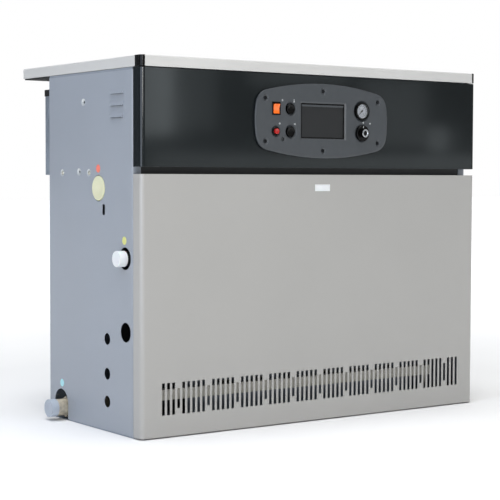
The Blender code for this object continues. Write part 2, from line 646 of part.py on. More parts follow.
def make_gauge():
    spot = control_spots()["gauge"]
    face = depth(-PLATE_PROUD)
    well = face + 0.0015
    turned("gauge_case", [(DIAL_R, face - 0.004), (GAUGE_R - 0.0008, face - 0.004), (GAUGE_R, face - 0.003),
                          (GAUGE_R, face - GAP), (GAUGE_R - 0.002, face - GAP), (GAUGE_R - 0.002, depth(0.030)),
                          (0, depth(0.030)), (0, well), (DIAL_R, well)], "Y", spot, "black_plastic")
    needle_y = well - GAP
    length, tail, half = DIAL_R - 0.003, 0.005, 0.0007
    outline = [(-length, 0.0), (-0.002, half), (tail, half * 1.6), (tail, -half * 1.6), (-0.002, -half)]
    lean = math.radians(45)
    placed = [(spot[0] + a * math.cos(lean) - b * math.sin(lean), spot[1] + a * math.sin(lean) + b * math.cos(lean))
              for a, b in outline]
    needle = prism("gauge_needle", placed, "Y", needle_y - 0.0006, needle_y, "red_plastic")
    join(needle, prism("needle_hub", circle(spot, 0.0022, 16), "Y", needle_y - 0.0014, needle_y))
    pivot(needle, (spot[0], needle_y, spot[1]))
    turned("gauge_lens", [(0, face - 0.0035), (DIAL_R - GAP, face - 0.0035), (DIAL_R - GAP, face - 0.0022),
                          (0, face - 0.0022)], "Y", spot, "clear")


def make_thermostat():
    spot = control_spots()["knob"]
    face = depth(-PLATE_PROUD)
    turned("boiler_thermostat", [(0, face - 0.006), (SHAFT_R, face - 0.006), (SHAFT_R, depth(FASCIA_WALL)),
                                 (0.0165, depth(FASCIA_WALL)), (0.0165, depth(BOX_BACK - SHEET - GAP)),
                                 (0, depth(BOX_BACK - SHEET - GAP))], "Y", spot, "zinc")
    bore = SHAFT_R + GAP
    front, skirt = face - 0.0145, face - 0.006
    knob = turned("thermostat_knob", [(0, front), (KNOB_HUB_R - 0.001, front), (KNOB_HUB_R, front + 0.001),
                                      (KNOB_HUB_R, skirt), (KNOB_R - 0.001, skirt), (KNOB_R, skirt + 0.001),
                                      (KNOB_R, face - GAP), (bore, face - GAP), (bore, face - 0.0065),
                                      (0, face - 0.0065)], "Y", spot, "black_plastic")
    pivot(knob, (spot[0], face, spot[1]))


# ---- Cast-iron body -------------------------------------------------------------------------
def section_outline():
    f, b, t = depth(SECTION_FRONT), depth(SECTION_BACK), SECTION_TOP
    leg, under, low = depth(LEG_FRONT), CHAMBER_TOP, PAN_FLOOR
    big, small = 0.030, 0.012
    return ([(f, under + small), (f + small, under)]
            + [(leg - small, under)] + arc((leg - small, under - small), small, 90, 0, 3)
            + [(leg, low)] + [(b, low)] + [(b, t - big)] + arc((b - big, t - big), big, 0, 90, 4)[1:]
            + [(f + big, t)] + arc((f + big, t - big), big, 90, 180, 4)[1:])


def make_sections():
    ports = (FLOW_AT, RETURN_AT)
    for i in range(SECTIONS):
        start = BODY_LEFT + i * SECTION_PITCH + SECTION_GAP / 2
        end = start + SECTION_PITCH - SECTION_GAP
        section = prism(f"section_{i + 1}", section_outline(), "X", start, end, "cast_iron")
        bores = [circle((depth(d), z), ROD_R + GAP, 12) for d, z in (UPPER_ROD, LOWER_ROD)]
        bores += [circle((depth(d), z), PORT_R, 16) for d, z in ports]
        cut(section, prisms(f"cut_section_{i + 1}", bores, "X", start - 0.01, end + 0.01))
        # A shallow waist on both faces makes the gas passage between two sections.
        waist = rectangle(depth(SECTION_FRONT + 0.030), depth(LEG_FRONT - 0.030), CHAMBER_TOP - 0.01,
                          FLOW_AT[1] - PORT_R - 0.030)
        for word, low, high in (("left", start - 0.01, start + 0.022), ("right", end - 0.022, end + 0.01)):
            cut(section, prism(f"cut_waist_{i + 1}_{word}", waist, "X", low, high))


def make_rods():
    head = ROD_R * 1.9
    left, right = BODY_LEFT - 0.014, BODY_LEFT + 2 * BODY_HALF + 0.014
    for word, spot in (("upper", UPPER_ROD), ("lower", LOWER_ROD)):
        seat_l, seat_r = BODY_LEFT + SECTION_GAP / 2 - GAP, BODY_LEFT + 2 * BODY_HALF - SECTION_GAP / 2 + GAP
        turned(f"tie_rod_{word}", [(0, left), (ROD_R, left), (ROD_R, seat_l - 0.008), (head, seat_l - 0.008),
                                   (head, seat_l), (ROD_R, seat_l), (ROD_R, seat_r), (head, seat_r),
                                   (head, seat_r + 0.008), (ROD_R, seat_r + 0.008), (ROD_R, right), (0, right)],
               "X", (depth(spot[0]), spot[1]), "steel", 12)


# ---- Water pipes ----------------------------------------------------------------------------
def make_flow():
    spot = (depth(FLOW_AT[0]), FLOW_AT[1])
    seat = BODY_LEFT + SECTION_GAP / 2 - GAP
    end = -HALF + FLOW_CAP_INSET + 0.004
    inner = FLOW_R - FLOW_WALL
    turned("flow_pipe", [(inner, end), (FLOW_R, end), (FLOW_R, seat - 0.012), (FLOW_R + 0.016, seat - 0.012),
                         (FLOW_R + 0.016, seat), (inner, seat)], "X", spot, "steel")
    lip = end - 0.004
    turned("flow_cap", [(0, lip), (FLOW_CAP_R, lip), (FLOW_CAP_R, lip + 0.016), (FLOW_R + GAP, lip + 0.016),
                        (FLOW_R + GAP, end - GAP), (0, end - GAP)], "X", spot, "cream_plastic")


def make_return():
    spot = (depth(RETURN_AT[0]), RETURN_AT[1])
    seat = BODY_LEFT + SECTION_GAP / 2 - GAP
    end = -HALF - RETURN_CAP_END + 0.002
    inner = RETURN_R - RETURN_WALL
    pipe = prism("return_pipe", circle(spot, RETURN_R), "X", end, seat, "brass")
    smooth(pipe)
    # A boss on top of the pipe takes the drain cock.
    boss_top = RETURN_AT[1] + RETURN_R + 0.006
    boss = prism("drain_boss", circle((DRAIN_X, spot[0]), DRAIN_R + 0.004), "Z", RETURN_AT[1], boss_top)
    join(pipe, boss)
    cut(pipe, prism("cut_return", circle(spot, inner), "X", end - 0.01, seat + 0.01))
    cut(pipe, prism("cut_drain", circle((DRAIN_X, spot[0]), DRAIN_R * 0.6, 16), "Z", RETURN_AT[1],
                    boss_top + 0.01))
    lip = end - 0.002
    turned("return_cap", [(0, lip), (RETURN_R + GAP + CAP_WALL, lip),
                          (RETURN_R + GAP + CAP_WALL, lip + RETURN_CAP_LENGTH),
                          (RETURN_R + GAP, lip + RETURN_CAP_LENGTH), (RETURN_R + GAP, end - GAP),
                          (0, end - GAP)], "X", spot, "pale_plastic")
    make_drain(spot[0], boss_top + GAP)


def make_drain(y, bottom):
    """A drain cock: body with a hose nozzle to the front, and its screw on top."""
    top = bottom + 0.022
    body = turned("drain_cock", [(0, bottom), (DRAIN_R + 0.002, bottom), (DRAIN_R + 0.002, bottom + 0.006),
                                 (DRAIN_R, bottom + 0.006), (DRAIN_R, top), (0.0035, top),
                                 (0.0035, bottom + 0.010), (0, bottom + 0.010)], "Z", (DRAIN_X, y), "brass")
    nozzle = prism("drain_nozzle", circle((DRAIN_X, bottom + 0.014), 0.0045, 16), "Y", y - 0.030, y - DRAIN_R / 2)
    join(body, nozzle)
    stem = 0.0035 - GAP
    knob = turned("drain_screw", [(0, bottom + 0.011), (stem, bottom + 0.011), (stem, top + GAP),
                                  (0.0075, top + GAP), (0.0085, top + 0.0015), (0.0085, top + 0.008),
                                  (0.0075, top + 0.009), (0, top + 0.009)], "Z", (DRAIN_X, y), "black_plastic", 16)
    pivot(knob, (DRAIN_X, y, top))


# ---- Gas line and burners -------------------------------------------------------------------
def make_gas_line():
    y, z = depth(GAS_AT[0]), GAS_AT[1]
    end = -HALF - GAS_CAP_END + 0.002
    bend = 0.030
    turn = [(VALVE_X - bend + bend * math.sin(t), y, z - bend + bend * math.cos(t))
            for t in [math.radians(90 * k / 6) for k in range(7)]]
    points = [(end, y, z)] + turn + [(VALVE_X, y, VALVE_TOP + GAP)]
    swept_tube("gas_pipe", points, GAS_R, GAS_R - GAS_WALL, "steel")
    lip, outer = end - 0.002, GAS_R + GAP + CAP_WALL
    turned("gas_cap", [(0, lip), (outer - 0.001, lip), (outer, lip + 0.001), (outer, lip + GAS_CAP_LENGTH),
                       (GAS_R + GAP, lip + GAS_CAP_LENGTH), (GAS_R + GAP, end - GAP), (0, end - GAP)],
           "X", (y, z), "white_plastic")
    valve = bevelled(box("gas_valve", (VALVE_X - VALVE_WIDTH / 2, y - VALVE_DEPTH / 2, VALVE_BOTTOM),
                         (VALVE_X + VALVE_WIDTH / 2, y + VALVE_DEPTH / 2, VALVE_TOP), "zinc"), 0.003, 1)
    join(valve, prism("valve_coil", circle((y, VALVE_BOTTOM + 0.055), 0.017), "X",
                      VALVE_X + VALVE_WIDTH / 2 - 0.004, VALVE_X + VALVE_WIDTH / 2 + 0.036))


def burner_x(i):
    return BODY_LEFT + (i + 1) * SECTION_PITCH


def make_manifold():
    y, z, half = depth(MANIFOLD_D), MANIFOLD_Z, MANIFOLD_SIZE / 2
    left = VALVE_X - 0.025
    bar = prism("gas_manifold", rectangle(y - half, y + half, z - half, z + half), "X", left, MANIFOLD_END, "zinc")
    for i in range(BURNERS):
        join(bar, prism(f"injector_{i + 1}", circle((burner_x(i), z), 0.006, 12), "Y", y + half - 0.002,
                        y + half + INJECTOR_LENGTH))
    join(bar, prism("manifold_riser", circle((VALVE_X, y), 0.0135, 16), "Z", z, VALVE_BOTTOM - GAP))
    for i, x in enumerate((left + 0.010, MANIFOLD_END - 0.010)):
        join(bar, box(f"manifold_leg_{i + 1}", (x - 0.008, y - 0.004, PAN_FLOOR), (x + 0.008, y + 0.004, z)))


def burner_ring(d, kind, inset):
    """The (x, z) points of a burner's cross-section at one depth, x from its middle."""
    radius, blend = kind
    points = []
    count = 16
    top, low = BURNER_TOP, MANIFOLD_Z - 0.021
    for k in range(count):
        t = 2 * math.pi * (k + 0.5) / count
        c, s = math.cos(t), math.sin(t)
        ring = (c * (radius - inset), MANIFOLD_Z + s * (radius - inset))
        reach = max(abs(c), abs(s))
        mid, half_h = (top + low) / 2, (top - low) / 2
        deck = (c / reach * (BURNER_HALF_WIDTH - inset), mid + s / reach * (half_h - inset))
        points.append((ring[0] + (deck[0] - ring[0]) * blend, ring[1] + (deck[1] - ring[1]) * blend))
    return points


def make_burners():
    """Each burner is a thin-walled tube: a horn at the injector, a neck, and a long flame deck."""
    stations = ((BURNER_MOUTH, (BURNER_MOUTH_R, 0.0)), (BURNER_MOUTH + 0.010, (BURNER_THROAT_R, 0.0)),
                (TRAY_D + TRAY_SHEET + 0.010, (BURNER_THROAT_R, 0.0)), (0.150, (BURNER_THROAT_R, 1.0)),
                (BURNER_END, (BURNER_THROAT_R, 1.0)))
    for i in range(BURNERS):
        bm = bmesh.new()
        skins = []
        for inset in (0.0, BURNER_WALL):
            skin = []
            for d, kind in stations:
                back = depth(d) - (inset if d == BURNER_END else 0.0)
                skin.append([bm.verts.new((burner_x(i) + x, back, z)) for x, z in burner_ring(d, kind, inset)])
            for here, there in zip(skin, skin[1:]):
                for k in range(len(here)):
                    n = (k + 1) % len(here)
                    bm.faces.new((here[k], here[n], there[n], there[k]))
            bm.faces.new(skin[-1])
            skins.append(skin)
        outer, inner = skins[0][0], skins[1][0]
        for k in range(len(outer)):
            n = (k + 1) % len(outer)
            bm.faces.new((outer[k], outer[n], inner[n], inner[k]))
        smooth(finish(f"burner_{i + 1}", bm, "stainless"))


def make_tray():
    """The chamber's front plate carries the burners by their necks and the sections by its top edge."""
    top = CHAMBER_TOP - GAP
    front, back = depth(SECTION_FRONT + 0.014), depth(SECTION_FRONT + 0.014 + TRAY_SHEET)
    plate = box("burner_plate", (BODY_LEFT, depth(TRAY_D), PAN_FLOOR),
                (BODY_LEFT + 2 * BODY_HALF, depth(TRAY_D + TRAY_SHEET), top - 0.010), "zinc")
    join(plate, box("plate_shelf", (BODY_LEFT, depth(TRAY_D), top - 0.012),
                    (BODY_LEFT + 2 * BODY_HALF, back, top - 0.010)))
    join(plate, box("plate_lip", (BODY_LEFT, front, top - 0.011), (BODY_LEFT + 2 * BODY_HALF, back, top)))
    necks = [circle((burner_x(i), MANIFOLD_Z), BURNER_THROAT_R + GAP) for i in range(BURNERS)]
    cut(plate, prisms("cut_necks", necks, "Y", depth(TRAY_D - 0.01), depth(TRAY_D + 0.01)))
    # Pilot burner: a bracket on the plate with a hooded flame port beside a main burner.
    x = burner_x(BURNERS // 2) - BURNER_HALF_WIDTH - 0.016
    start = depth(TRAY_D + TRAY_SHEET + GAP)
    pilot = box("pilot_burner", (x - 0.010, start, 0.100), (x + 0.010, start + 0.002, 0.150), "steel")
    join(pilot, box("pilot_arm", (x - 0.006, start + 0.001, 0.118), (x + 0.006, start + 0.050, 0.124)))
    join(pilot, prism("pilot_head", circle((x, start + 0.044), 0.006, 16), "Z", 0.110, 0.146))


# ---- Flue way -------------------------------------------------------------------------------
def flue_window(name, start, end):
    side = BODY_HALF - WINDOW_SIDE
    return box(name, (BODY_X - side, depth(start), WINDOW_BOTTOM), (BODY_X + side, depth(end), WINDOW_TOP))


def make_flue():
    t = HOOD_SHEET
    bottom, back = SECTION_TOP + GAP, depth(CASE_DEPTH - SHEET - 2 * GAP)
    front, slope_z = depth(SECTION_FRONT), SECTION_TOP + 0.045
    ridge = depth(0.230)
    outline = [(front, bottom), (back, bottom), (back, COLLECTOR_TOP), (ridge, COLLECTOR_TOP), (front, slope_z)]
    collector = prism("flue_collector", outline, "X", BODY_LEFT, BODY_LEFT + 2 * BODY_HALF, "zinc")
    inside = [(front + t, bottom - 0.01), (back - t, bottom - 0.01), (back - t, COLLECTOR_TOP - t),
              (ridge + t / 2, COLLECTOR_TOP - t), (front + t, slope_z - t / 2)]
    cut(collector, prism("cut_collector", inside, "X", BODY_LEFT + t, BODY_LEFT + 2 * BODY_HALF - t))
    cut(collector, flue_window("cut_collector_window", CASE_DEPTH - 0.02, CASE_DEPTH + 0.02))

    side = HALF - HOOD_INSET
    start, end = depth(CASE_DEPTH), depth(HOOD_BACK)
    hood = box("draught_hood", (-side, start, HOOD_BOTTOM), (side, end, HOOD_TOP), "zinc")
    cut(hood, box("cut_hood", (-side + t, start + t, HOOD_BOTTOM - 0.01), (side - t, end - t, HOOD_TOP - t)))
    cut(hood, flue_window("cut_hood_window", CASE_DEPTH - 0.01, CASE_DEPTH + 0.01))
    spot = (BODY_X, (HOOD_BOTTOM + HOOD_TOP) / 2)
    cut(hood, prism("cut_hood_hole", circle(spot, SPIGOT_R + GAP, 32), "Y", end - 0.01, end + 0.01))
    turned("flue_spigot", [(SPIGOT_R - t, end - 0.008), (SPIGOT_R, end - 0.008), (SPIGOT_R, end + GAP),
                           (SPIGOT_R + 0.010, end + GAP), (SPIGOT_R + 0.010, end + GAP + t),
                           (SPIGOT_R, end + GAP + t), (SPIGOT_R, depth(SPIGOT_END)),
                           (SPIGOT_R - t, depth(SPIGOT_END))], "Y", spot, "zinc", 32)


def clear_scene():
    for obj in list(bpy.data.objects):
        bpy.data.objects.remove(obj, do_unlink=True)


clear_scene()
MATERIALS = make_materials()
make_base()
make_side_panels()
make_rear_panel()
make_frame()
make_lid()
make_door()
make_fascia()
make_plate()
make_blank()
make_rocker()
make_lockout()
make_caps()
make_gauge()
make_thermostat()
make_sections()
make_rods()
make_flow()
make_return()
make_gas_line()
make_manifold()
make_burners()
make_tray()
make_flue()
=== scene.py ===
"""Looks of the floor-standing gas boiler: casing, controls, pipe stubs, burner set and flue way.

Metres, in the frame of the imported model: +X to the right, the front faces -Y, +Z up.
"""
import json
import math

import bpy
from mathutils import Matrix, Vector


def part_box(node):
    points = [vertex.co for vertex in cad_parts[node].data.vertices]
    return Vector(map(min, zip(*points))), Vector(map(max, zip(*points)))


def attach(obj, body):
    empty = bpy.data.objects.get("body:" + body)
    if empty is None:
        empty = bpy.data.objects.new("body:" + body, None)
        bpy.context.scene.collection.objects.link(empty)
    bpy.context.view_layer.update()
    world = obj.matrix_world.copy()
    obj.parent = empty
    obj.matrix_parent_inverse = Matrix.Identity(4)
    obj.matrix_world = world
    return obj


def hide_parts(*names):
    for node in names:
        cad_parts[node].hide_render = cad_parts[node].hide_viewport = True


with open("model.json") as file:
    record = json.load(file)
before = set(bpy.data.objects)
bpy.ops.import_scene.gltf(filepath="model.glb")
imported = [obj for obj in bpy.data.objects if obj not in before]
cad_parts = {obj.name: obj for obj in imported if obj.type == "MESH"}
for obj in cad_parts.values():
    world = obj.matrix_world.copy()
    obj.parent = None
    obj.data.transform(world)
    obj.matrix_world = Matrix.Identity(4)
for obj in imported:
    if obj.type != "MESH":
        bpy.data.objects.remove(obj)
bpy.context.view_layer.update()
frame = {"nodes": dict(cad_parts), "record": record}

MM = 0.001
NEAR = 0.02 * MM  # a point this close to a plane lies in it
WELD = 0.002 * MM  # points of a turned mesh this close become one
HALF_WIDTH = 0.5  # from the middle of the casing to a side panel's face
SECTIONS, BURNERS = 7, 6
PRINT_OUT, PRINT_IN = 0.10, 0.02  # mm that a printed symbol stands out of and into its face
AXES = {"X": Vector((1, 0, 0)), "Y": Vector((0, 1, 0)), "Z": Vector((0, 0, 1))}
ACROSS = {"X": Vector((0, 0, 1)), "Y": Vector((1, 0, 0)), "Z": Vector((1, 0, 0))}


# ---- Modelling helpers ----------------------------------------------------------------------
def pick_none():
    for other in bpy.context.selected_objects:
        other.select_set(False)


def pick(piece):
    """Deselects everything, then selects one object and makes it active."""
    pick_none()
    piece.select_set(True)
    bpy.context.view_layer.objects.active = piece
    return piece


def edit(piece):
    """Opens an object in edit mode with its whole mesh selected."""
    pick(piece)
    bpy.ops.object.mode_set(mode="EDIT")
    bpy.ops.mesh.select_all(action="SELECT")


def leave():
    """Goes back to object mode and gives the active object."""
    bpy.ops.object.mode_set(mode="OBJECT")
    return bpy.context.view_layer.objects.active


def unpicked(piece):
    """Deselects the whole mesh, so that parts of it can be selected in object mode."""
    edit(piece)
    bpy.ops.mesh.select_all(action="DESELECT")
    leave()


def named(piece, name):
    piece.name = name
    piece.data.name = name
    return piece


def block(name, low, high):
    """A block between two corners, with its place in its mesh."""
    low, high = Vector(low), Vector(high)
    pick_none()
    bpy.ops.mesh.primitive_cube_add(size=1)
    piece = named(bpy.context.view_layer.objects.active, name)
    edit(piece)
    bpy.ops.transform.resize(value=high - low)
    bpy.ops.transform.translate(value=(low + high) / 2)
    return leave()


def drawn(name, points):
    """A chain of edges through the points, left in edit mode and all selected."""
    points = [Vector(p) for p in points]
    pick_none()
    bpy.ops.mesh.primitive_plane_add(size=2 * MM)
    piece = named(bpy.context.view_layer.objects.active, name)
    edit(piece)
    bpy.ops.mesh.merge(type="CENTER")
    bpy.ops.transform.translate(value=points[0])
    for here, there in zip(points, points[1:]):
        bpy.ops.mesh.extrude_region_move(TRANSFORM_OT_translate={"value": there - here})
    bpy.ops.mesh.select_all(action="SELECT")
    return piece


def turned(name, profile, axis, centre, steps=48):
    """A profile of (radius, place along the axis) in mm, spun about the axis through the centre."""
    along, across, centre = AXES[axis], ACROSS[axis], Vector(centre)
    line = [centre + across * (r * MM) + along * (a * MM) for r, a in profile]
    if profile[0][0] > 0:
        line.append(line[0])
    drawn(name, line)
    bpy.ops.mesh.spin(steps=steps, angle=2 * math.pi, center=centre, axis=along)
    bpy.ops.mesh.select_all(action="SELECT")
    bpy.ops.mesh.remove_doubles(threshold=WELD)
    bpy.ops.mesh.normals_make_consistent(inside=False)
    piece = leave()
    return smoothed(piece)


def smoothed(piece, angle=35):
    """Smooth shading, with edges sharper than the angle kept."""
    pick(piece)
    bpy.ops.object.shade_smooth_by_angle(angle=math.radians(angle))
    return piece


def modified(piece, kind, **settings):
    """Adds a modifier with its settings and applies it."""
    pick(piece)
    modifier = piece.modifiers.new(kind.title(), kind)
    for key, value in settings.items():
        setattr(modifier, key, value)
    bpy.ops.object.modifier_apply(modifier=modifier.name)
    return piece


def rounded(piece, width, segments=2, angle=40):
    """Breaks the sharp edges by a width in mm."""
    modified(piece, "BEVEL", width=width * MM, segments=segments, limit_method="ANGLE",
             angle_limit=math.radians(angle), use_clamp_overlap=True)
    return smoothed(piece)


def rolled(piece, width, segments, wanted):
    """Rounds the edges whose two ends both pass the test, by a width in mm."""
    unpicked(piece)
    points = piece.data.vertices
    for edge in piece.data.edges:
        edge.select = all(wanted(points[i].co) for i in edge.vertices)
    bpy.ops.object.mode_set(mode="EDIT")
    bpy.ops.mesh.select_mode(type="EDGE")
    bpy.ops.mesh.bevel(offset=width * MM, segments=segments, affect="EDGES", clamp_overlap=True)
    bpy.ops.mesh.select_mode(type="VERT")
    return leave()


def cut(piece, *cutters):
    """Takes the cutters out of a piece and deletes them."""
    for cutter in cutters:
        modified(piece, "BOOLEAN", operation="DIFFERENCE", solver="EXACT", object=cutter)
        bpy.data.objects.remove(cutter)
    return piece


def joined(name, pieces):
    """Several meshes as one object, each still a closed shell."""
    pick_none()
    for piece in pieces:
        piece.select_set(True)
    bpy.context.view_layer.objects.active = pieces[0]
    bpy.ops.object.join()
    return named(bpy.context.view_layer.objects.active, name)


def tidy(piece, angle=0.4):
    """Welds a mesh of loose triangles and dissolves the edges inside its flat faces."""
    edit(piece)
    bpy.ops.mesh.remove_doubles(threshold=WELD / 2)
    bpy.ops.mesh.dissolve_limited(angle_limit=math.radians(angle))
    return leave()


def reworked(node, name):
    """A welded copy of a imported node, to be finished and shown in its place."""
    made = bpy.data.objects.new(name, frame["nodes"][node].data.copy())
    made.data.name = name
    bpy.context.scene.collection.objects.link(made)
    return tidy(made)


def copied(piece, name, shift=(0, 0, 0), about=None, degrees=0, axis="Y"):
    """A copy with its own mesh, turned about a point and then moved, both in the mesh."""
    made = bpy.data.objects.new(name, piece.data.copy())
    made.data.name = name
    bpy.context.scene.collection.objects.link(made)
    place = Matrix.Translation(Vector(shift))
    if degrees:
        centre = Vector(about)
        turn = Matrix.Rotation(math.radians(degrees), 4, axis)
        place = place @ Matrix.Translation(centre) @ turn @ Matrix.Translation(-centre)
    made.data.transform(place)
    return made


def show(piece, body, finish, *nodes):
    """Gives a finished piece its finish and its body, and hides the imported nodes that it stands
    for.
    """
    piece.data.materials.clear()
    piece.data.materials.append(FINISHES[finish])
    if any(polygon.use_smooth for polygon in piece.data.polygons):
        # Large flat faces keep their own normals, so they reflect evenly.
        modified(piece, "WEIGHTED_NORMAL", keep_sharp=True)
    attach(piece, body)
    if nodes:
        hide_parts(*nodes)
    return piece


def middle(node):
    low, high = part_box(node)
    return (low + high) / 2


# ---- Finishes -------------------------------------------------------------------------------
NOISE_LOW, NOISE_HIGH = 0.3, 0.7  # nearly all of a noise's values lie between these
SPANGLE_WIDTH = 14  # mm across a zinc crystal
WAXY = {"Subsurface Weight": 0.15, "Subsurface Scale": 0.002}  # light goes a little way into it


def linear(code):
    """An sRGB hex colour as linear red, green, blue and alpha."""
    values = [int(code[i:i + 2], 16) / 255 for i in (1, 3, 5)]
    return tuple(v / 12.92 if v <= 0.04045 else ((v + 0.055) / 1.055) ** 2.4
                 for v in values) + (1.0,)


def add(tree, kind, values=None, links=None, **settings):
    """Adds a node with its settings, socket values and links."""
    made = tree.nodes.new(kind)
    for key, value in settings.items():
        setattr(made, key, value)
    for key, value in (values or {}).items():
        made.inputs[key].default_value = value
    for key, source in (links or {}).items():
        tree.links.new(source, made.inputs[key])
    return made


def two_tone(tree, source, first, second):
    """A colour ramp between two (position, colour) pairs, driven by a value."""
    made = add(tree, "ShaderNodeValToRGB", links={"Fac": source})
    for element, (position, colour) in zip(made.color_ramp.elements, (first, second)):
        element.position, element.color = position, colour
    return made.outputs["Color"]


def surface(name, colour, roughness, metallic=0.0, tone=0.05, patch=60, grain=0.02, grit=1.0,
            stretch=(1, 1, 1), spangle=0.0, rough_swing=0.05, extra=None):
    """A finish on object coordinates. Sizes in mm: patch is the width of a change of tone, grit
    the width of the grain and grain its height. Spangle mixes in crystal-like cells."""
    made = bpy.data.materials.new(name)
    made.use_nodes = True
    tree = made.node_tree
    shader = tree.nodes["Principled BSDF"]
    place = add(tree, "ShaderNodeTexCoord")
    scaled = add(tree, "ShaderNodeMapping", {"Scale": stretch}, {"Vector": place.outputs["Object"]})
    cloud = add(tree, "ShaderNodeTexNoise", {"Scale": 1000 / patch, "Detail": 3.0},
                {"Vector": scaled.outputs[0]})
    mottle = cloud.outputs["Fac"]
    if spangle:
        cells = add(tree, "ShaderNodeTexVoronoi", {"Scale": 1000 / SPANGLE_WIDTH},
                    {"Vector": place.outputs["Object"]})
        mixed = add(tree, "ShaderNodeMix", {0: spangle}, {2: mottle, 3: cells.outputs["Color"]})
        mottle = mixed.outputs[0]
    base = linear(colour)
    low = tuple(c * (1 - tone) for c in base[:3]) + (1.0,)
    high = tuple(min(1.0, c * (1 + tone)) for c in base[:3]) + (1.0,)
    tones = two_tone(tree, mottle, (NOISE_LOW, low), (NOISE_HIGH, high))
    tree.links.new(tones, shader.inputs["Base Color"])
    gloss = add(tree, "ShaderNodeMapRange", {"From Min": NOISE_LOW, "From Max": NOISE_HIGH,
                                             "To Min": max(0.02, roughness - rough_swing),
                                             "To Max": roughness + rough_swing}, {"Value": mottle})
    tree.links.new(gloss.outputs["Result"], shader.inputs["Roughness"])
    shader.inputs["Metallic"].default_value = metallic
    if grain:
        fine = add(tree, "ShaderNodeTexNoise", {"Scale": 1000 / grit, "Detail": 2.0},
                   {"Vector": scaled.outputs[0]})
        bump = add(tree, "ShaderNodeBump", {"Strength": 0.6, "Distance": grain * MM},
                   {"Height": fine.outputs["Fac"]})
        tree.links.new(bump.outputs["Normal"], shader.inputs["Normal"])
    for key, value in (extra or {}).items():
        shader.inputs[key].default_value = value
    return made


def clear_coat(weight, roughness):
    return {"Coat Weight": weight, "Coat Roughness": roughness}


